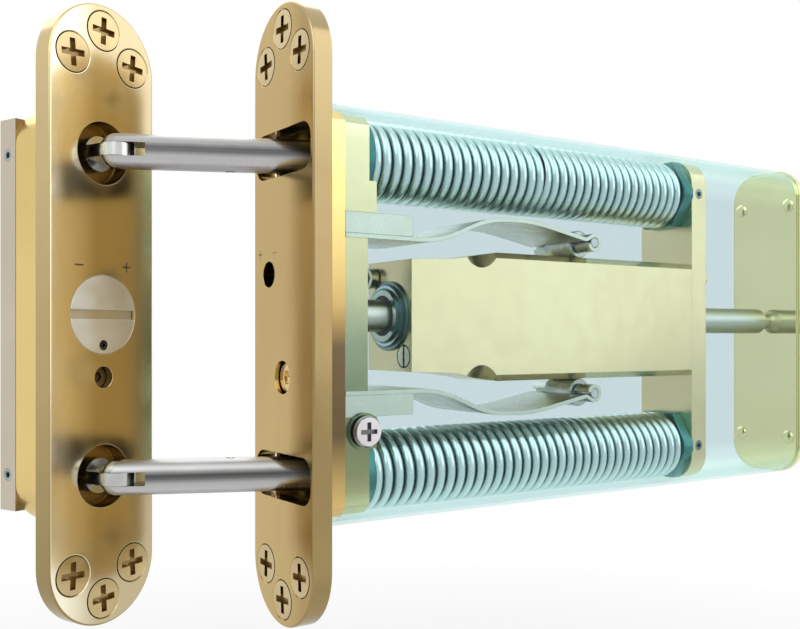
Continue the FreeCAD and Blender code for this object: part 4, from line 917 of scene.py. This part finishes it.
# Painted light: the face goes from dull brass to a near-white highlight across its width, over soft clouds of
# painted reflection; its edges are painted darker at the bottom and lighter towards the top
anchor_paint = painted_light_gradient(plate_reflection_clouds((0.58, 0.485, 0.295), (0.54, 0.45, 0.265)),
                      plate_reflection_clouds((1.0, 0.93, 0.72), (0.96, 0.89, 0.68)),
                      ANCHOR_ACROSS, ANCHOR_SHADE_FROM, ANCHOR_SHADE_TO)
ANCHOR_EDGE_LIGHT_TONES = ((0.0, (0.38, 0.275, 0.12)), (0.14, (0.36, 0.265, 0.115)), (0.94, (0.66, 0.52, 0.265)),
                     (1.0, (0.66, 0.52, 0.265)))
frame_block_paint = clouded((0.75, 0.57, 0.225), (0.70, 0.52, 0.195), scale=14.0)
frame_block_brass = metal("frame_block_brass", frame_block_paint, smooth=0.2, rough=0.3)
anchor_brass = plate_brass("frame_plate_brass", ANCHOR_FACE, ANCHOR_OUTWARD, anchor_paint,
                           lit_by_height(0.0, plate_half, ANCHOR_EDGE_LIGHT_TONES))
anchor_screw_brass = metal("frame_screw_brass", recess_shaded(screw_paint, ANCHOR_FACE, ANCHOR_OUTWARD, SCREW_RECESS_SHADE),
                           smooth=0.16, rough=0.26)
# Painted shade: the sunk screw is dark brown all over, as the shade down in its hole
shaded_screw_brass = metal("shade_painted_screw_brass", clouded((0.16, 0.115, 0.05), (0.08, 0.055, 0.02), scale=200.0),
                  smooth=0.25, rough=0.35)
dressed("anchor_block", "frame_block", "anchor_plate", frame_block_brass, edge=0.3 * MM)
dressed("anchor_plate", "frame_faceplate", "anchor_plate", anchor_brass, edge=0.3 * MM)
plate_screws("frame_faceplate_screws", "anchor_plate_screws", "anchor_plate", ANCHOR_FACE, ANCHOR_OUTWARD,
             anchor_screw_brass)
dressed("anchor_block_screw", "frame_block_screw", "anchor_plate", shaded_screw_brass, edge=0.12 * MM)


# Latch adjuster: slotted steel disc, satin turned, with a small lock screw below its slot.
# It sits flush in its bore and is turned by its slot; its rim is painted dark as the shade in the clearance
# line.
DISC_RIM = 0.5 * MM
# Painted shade: the disc's rim dark, and the slot's floor browner and darker with depth
DISC_RIM_SHADE = (0.16, 0.12, 0.06)
SLOT_SHADE = (0.62, 0.58, 0.50)
SLOT_FULL_DEPTH = 1.2 * MM
disc_low, disc_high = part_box("latch_adjuster")
DISC_R = (disc_high[2] - disc_low[2]) / 2
disc_middle = Vector((ANCHOR_FACE.x, ANCHOR_FACE.y, (disc_high[2] + disc_low[2]) / 2))
# Painted light: the face grey on one side and bluish white towards the other
DISC_SHADE_FROM = ANCHOR_MIDDLE - 8 * MM
DISC_SHADE_TO = ANCHOR_MIDDLE + 5 * MM
disc_paint = painted_light_gradient(clouded((0.72, 0.70, 0.72), (0.69, 0.67, 0.68), scale=12.0),
                    clouded((0.82, 0.90, 1.0), (0.79, 0.87, 0.98), scale=12.0),
                    ANCHOR_ACROSS, DISC_SHADE_FROM, DISC_SHADE_TO)
slot_paint = recess_shaded(disc_paint, ANCHOR_FACE, ANCHOR_OUTWARD, SLOT_SHADE, SLOT_FULL_DEPTH)


def rimmed_disc(tree):
    aside = distance_along(tree, disc_middle, ANCHOR_ACROSS)
    upward = distance_along(tree, disc_middle, UP)
    rim = computed(tree, "GREATER_THAN", distance_of(tree, aside, upward), DISC_R - DISC_RIM)
    return mixed(tree, rim, slot_paint(tree), DISC_RIM_SHADE)


disc_steel = metal("satin_disc_steel", rimmed_disc, smooth=0.30, rough=0.38)
lock_steel = metal("dark_lock_steel", clouded((0.10, 0.10, 0.12), (0.04, 0.04, 0.05), scale=300.0),
                   smooth=0.2, rough=0.3)
dressed("latch_adjuster", "slotted_disc", "latch_adjuster", disc_steel, edge=0.15 * MM)
dressed("adjuster_lock_screw", "disc_lock_screw", "latch_adjuster", lock_steel, edge=0.08 * MM)


# Adjustment marks: a minus and a plus engraved above each adjuster.
# The frame side's are filled dark; those above the speed key's hole are worn to a faint brown.
MARK_LENGTH = 3.2 * MM
MARK_STROKE = 0.5 * MM
MARK_DEPTH = 0.05 * MM
MARK_PROUD = 0.01 * MM
LATCH_MINUS_PLACE = (9.2 * MM, 15.1 * MM)
LATCH_PLUS_PLACE = (-9.0 * MM, 15.3 * MM)
SPEED_PLUS_PLACE = (15.5 * MM, 19.6 * MM)
SPEED_MINUS_PLACE = (5.0 * MM, 19.6 * MM)


def mark_fill(name, light, dark):
    material, tree, shader = new_material(name, metallic=0.0, roughness=0.6)
    tree.links.new(clouded(light, dark, scale=300.0)(tree), shader.inputs["Base Color"])
    return material


def adjustment_mark(name, body, face, outward, across, up, strokes, fill):
    shape = bmesh.new()
    for width, height in strokes:
        size = Matrix.Diagonal((width, height, MARK_DEPTH + MARK_PROUD, 1.0))
        middle = Matrix.Translation((across, up, (MARK_DEPTH - MARK_PROUD) / 2))
        bmesh.ops.create_cube(shape, size=1.0, matrix=plate_frame(face, outward) @ middle @ size)
    mesh = bpy.data.meshes.new(name)
    shape.to_mesh(mesh)
    shape.free()
    piece = finished(shown(name, mesh), name, 0.0, fill)
    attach(piece, body)


LEVEL_STROKE = (MARK_LENGTH, MARK_STROKE)
UPRIGHT_STROKE = (MARK_STROKE, MARK_LENGTH)
MINUS = (LEVEL_STROKE,)
PLUS = (LEVEL_STROKE, UPRIGHT_STROKE)
dark_fill = mark_fill("dark_mark_fill", (0.075, 0.05, 0.02), (0.045, 0.03, 0.012))
worn_fill = mark_fill("worn_mark_fill", (0.42, 0.31, 0.13), (0.37, 0.27, 0.11))
latch_side = ("anchor_plate", ANCHOR_FACE, ANCHOR_OUTWARD)
speed_side = ("case", DOOR_FACE, DOOR_OUTWARD)
adjustment_mark("latch_minus_mark", *latch_side, *LATCH_MINUS_PLACE, MINUS, dark_fill)
adjustment_mark("latch_plus_mark", *latch_side, *LATCH_PLUS_PLACE, PLUS, dark_fill)
adjustment_mark("speed_plus_mark", *speed_side, *SPEED_PLUS_PLACE, PLUS, worn_fill)
adjustment_mark("speed_minus_mark", *speed_side, *SPEED_MINUS_PLACE, MINUS, worn_fill)


# Studio: plain pale floor well below the part, soft lamps, white all round.
# Far from the part the floor is as white as the backdrop; near it, it keeps the shadow.
FLOOR_DROP = 0.16
FLOOR_REACH = 30.0
FLOOR_NEAR = 0.35
FLOOR_FAR = 0.85


# White as seen directly, in metal and through the clear case
def seen_white(tree):
    rays = tree.nodes.new("ShaderNodeLightPath")
    direct = computed(tree, "MAXIMUM", rays.outputs["Is Camera Ray"], rays.outputs["Is Glossy Ray"])
    return computed(tree, "MAXIMUM", direct, rays.outputs["Is Transmission Ray"])


floor_mesh = bpy.data.meshes.new("floor")
floor_z = cad_box[0][2] - FLOOR_DROP
floor_mesh.from_pydata([(-FLOOR_REACH, -FLOOR_REACH, floor_z), (FLOOR_REACH, -FLOOR_REACH, floor_z),
                        (FLOOR_REACH, FLOOR_REACH, floor_z), (-FLOOR_REACH, FLOOR_REACH, floor_z)],
                       [], [(0, 1, 2, 3)])
floor = shown("floor", floor_mesh)
floor_paint, floor_tree, floor_shader = new_material("pale_floor", metallic=0.0, roughness=0.9)
floor_shader.inputs["Specular IOR Level"].default_value = 0.0
floor_tree.links.new(clouded((0.93, 0.93, 0.93), (0.90, 0.90, 0.90), scale=3.0)(floor_tree),
                     floor_shader.inputs["Base Color"])
from_part = floor_tree.nodes.new("ShaderNodeVectorMath")
from_part.operation = "LENGTH"
floor_place = floor_tree.nodes.new("ShaderNodeTexCoord")
floor_tree.links.new(floor_place.outputs["Object"], from_part.inputs[0])
faded = remapped(floor_tree, from_part.outputs["Value"], FLOOR_NEAR, FLOOR_FAR, 0.0, 1.0)
white = floor_tree.nodes.new("ShaderNodeEmission")
floor_mix = floor_tree.nodes.new("ShaderNodeMixShader")
linked(floor_tree, (
    (computed(floor_tree, "MULTIPLY", faded, seen_white(floor_tree)), floor_mix.inputs["Fac"]),
    (floor_shader.outputs["BSDF"], floor_mix.inputs[1]),
    (white.outputs["Emission"], floor_mix.inputs[2]),
    (floor_mix.outputs["Shader"], floor_tree.nodes["Material Output"].inputs["Surface"])))
floor.data.materials.append(floor_paint)


def lamp(name, place, aim, size, power):
    light = bpy.data.lights.new(name, "AREA")
    light.shape = "DISK"
    light.size = size
    light.energy = power
    holder = bpy.data.objects.new(name, light)
    bpy.context.scene.collection.objects.link(holder)
    holder.location = place
    holder.rotation_euler = (Vector(aim) - Vector(place)).to_track_quat("-Z", "Y").to_euler()


AIM = (0.08, 0.0, 0.0)
LAMP_SIZE = 1.5
lamp("key_lamp", (-0.75, -0.75, 0.95), AIM, LAMP_SIZE, power=7.0)
lamp("side_lamp", (0.75, -0.9, 0.55), AIM, LAMP_SIZE, power=5.0)
lamp("back_lamp", (0.1, 1.0, 0.9), AIM, LAMP_SIZE, power=5.0)

WORLD_LEVEL = 0.6
world = bpy.data.worlds.new("studio")
bpy.context.scene.world = world
world.use_nodes = True
sky = world.node_tree
background = sky.nodes["Background"]
background.inputs["Color"].default_value = (1.0, 1.0, 1.0, 1.0)
sky.links.new(remapped(sky, seen_white(sky), 0.0, 1.0, WORLD_LEVEL, 1.0), background.inputs["Strength"])


# Camera: level, a little below the part's middle, at the photograph's angle to the door plate.
# Its place and focal length were solved from the plates' and the case's outlines.
CAMERA_PLACE = (-138.97 * MM, -273.9 * MM, -7.18 * MM)
CAMERA_LOOK = (0.5557, 0.8314, 0.0)
FOCAL_PIXELS = 980.1
PHOTO_WIDTH = 800
HORIZON_BELOW_MIDDLE = 23.07
camera_data = bpy.data.cameras.new("camera")
camera_data.sensor_width = 36.0
camera_data.lens = FOCAL_PIXELS / PHOTO_WIDTH * camera_data.sensor_width
camera_data.shift_y = HORIZON_BELOW_MIDDLE / PHOTO_WIDTH
camera_data.clip_start = 0.01
camera = bpy.data.objects.new("camera", camera_data)
bpy.context.scene.collection.objects.link(camera)
camera.location = CAMERA_PLACE
camera.rotation_euler = Vector(CAMERA_LOOK).to_track_quat("-Z", "Y").to_euler()
bpy.context.scene.camera = camera
bpy.context.scene.view_settings.view_transform = "Standard"
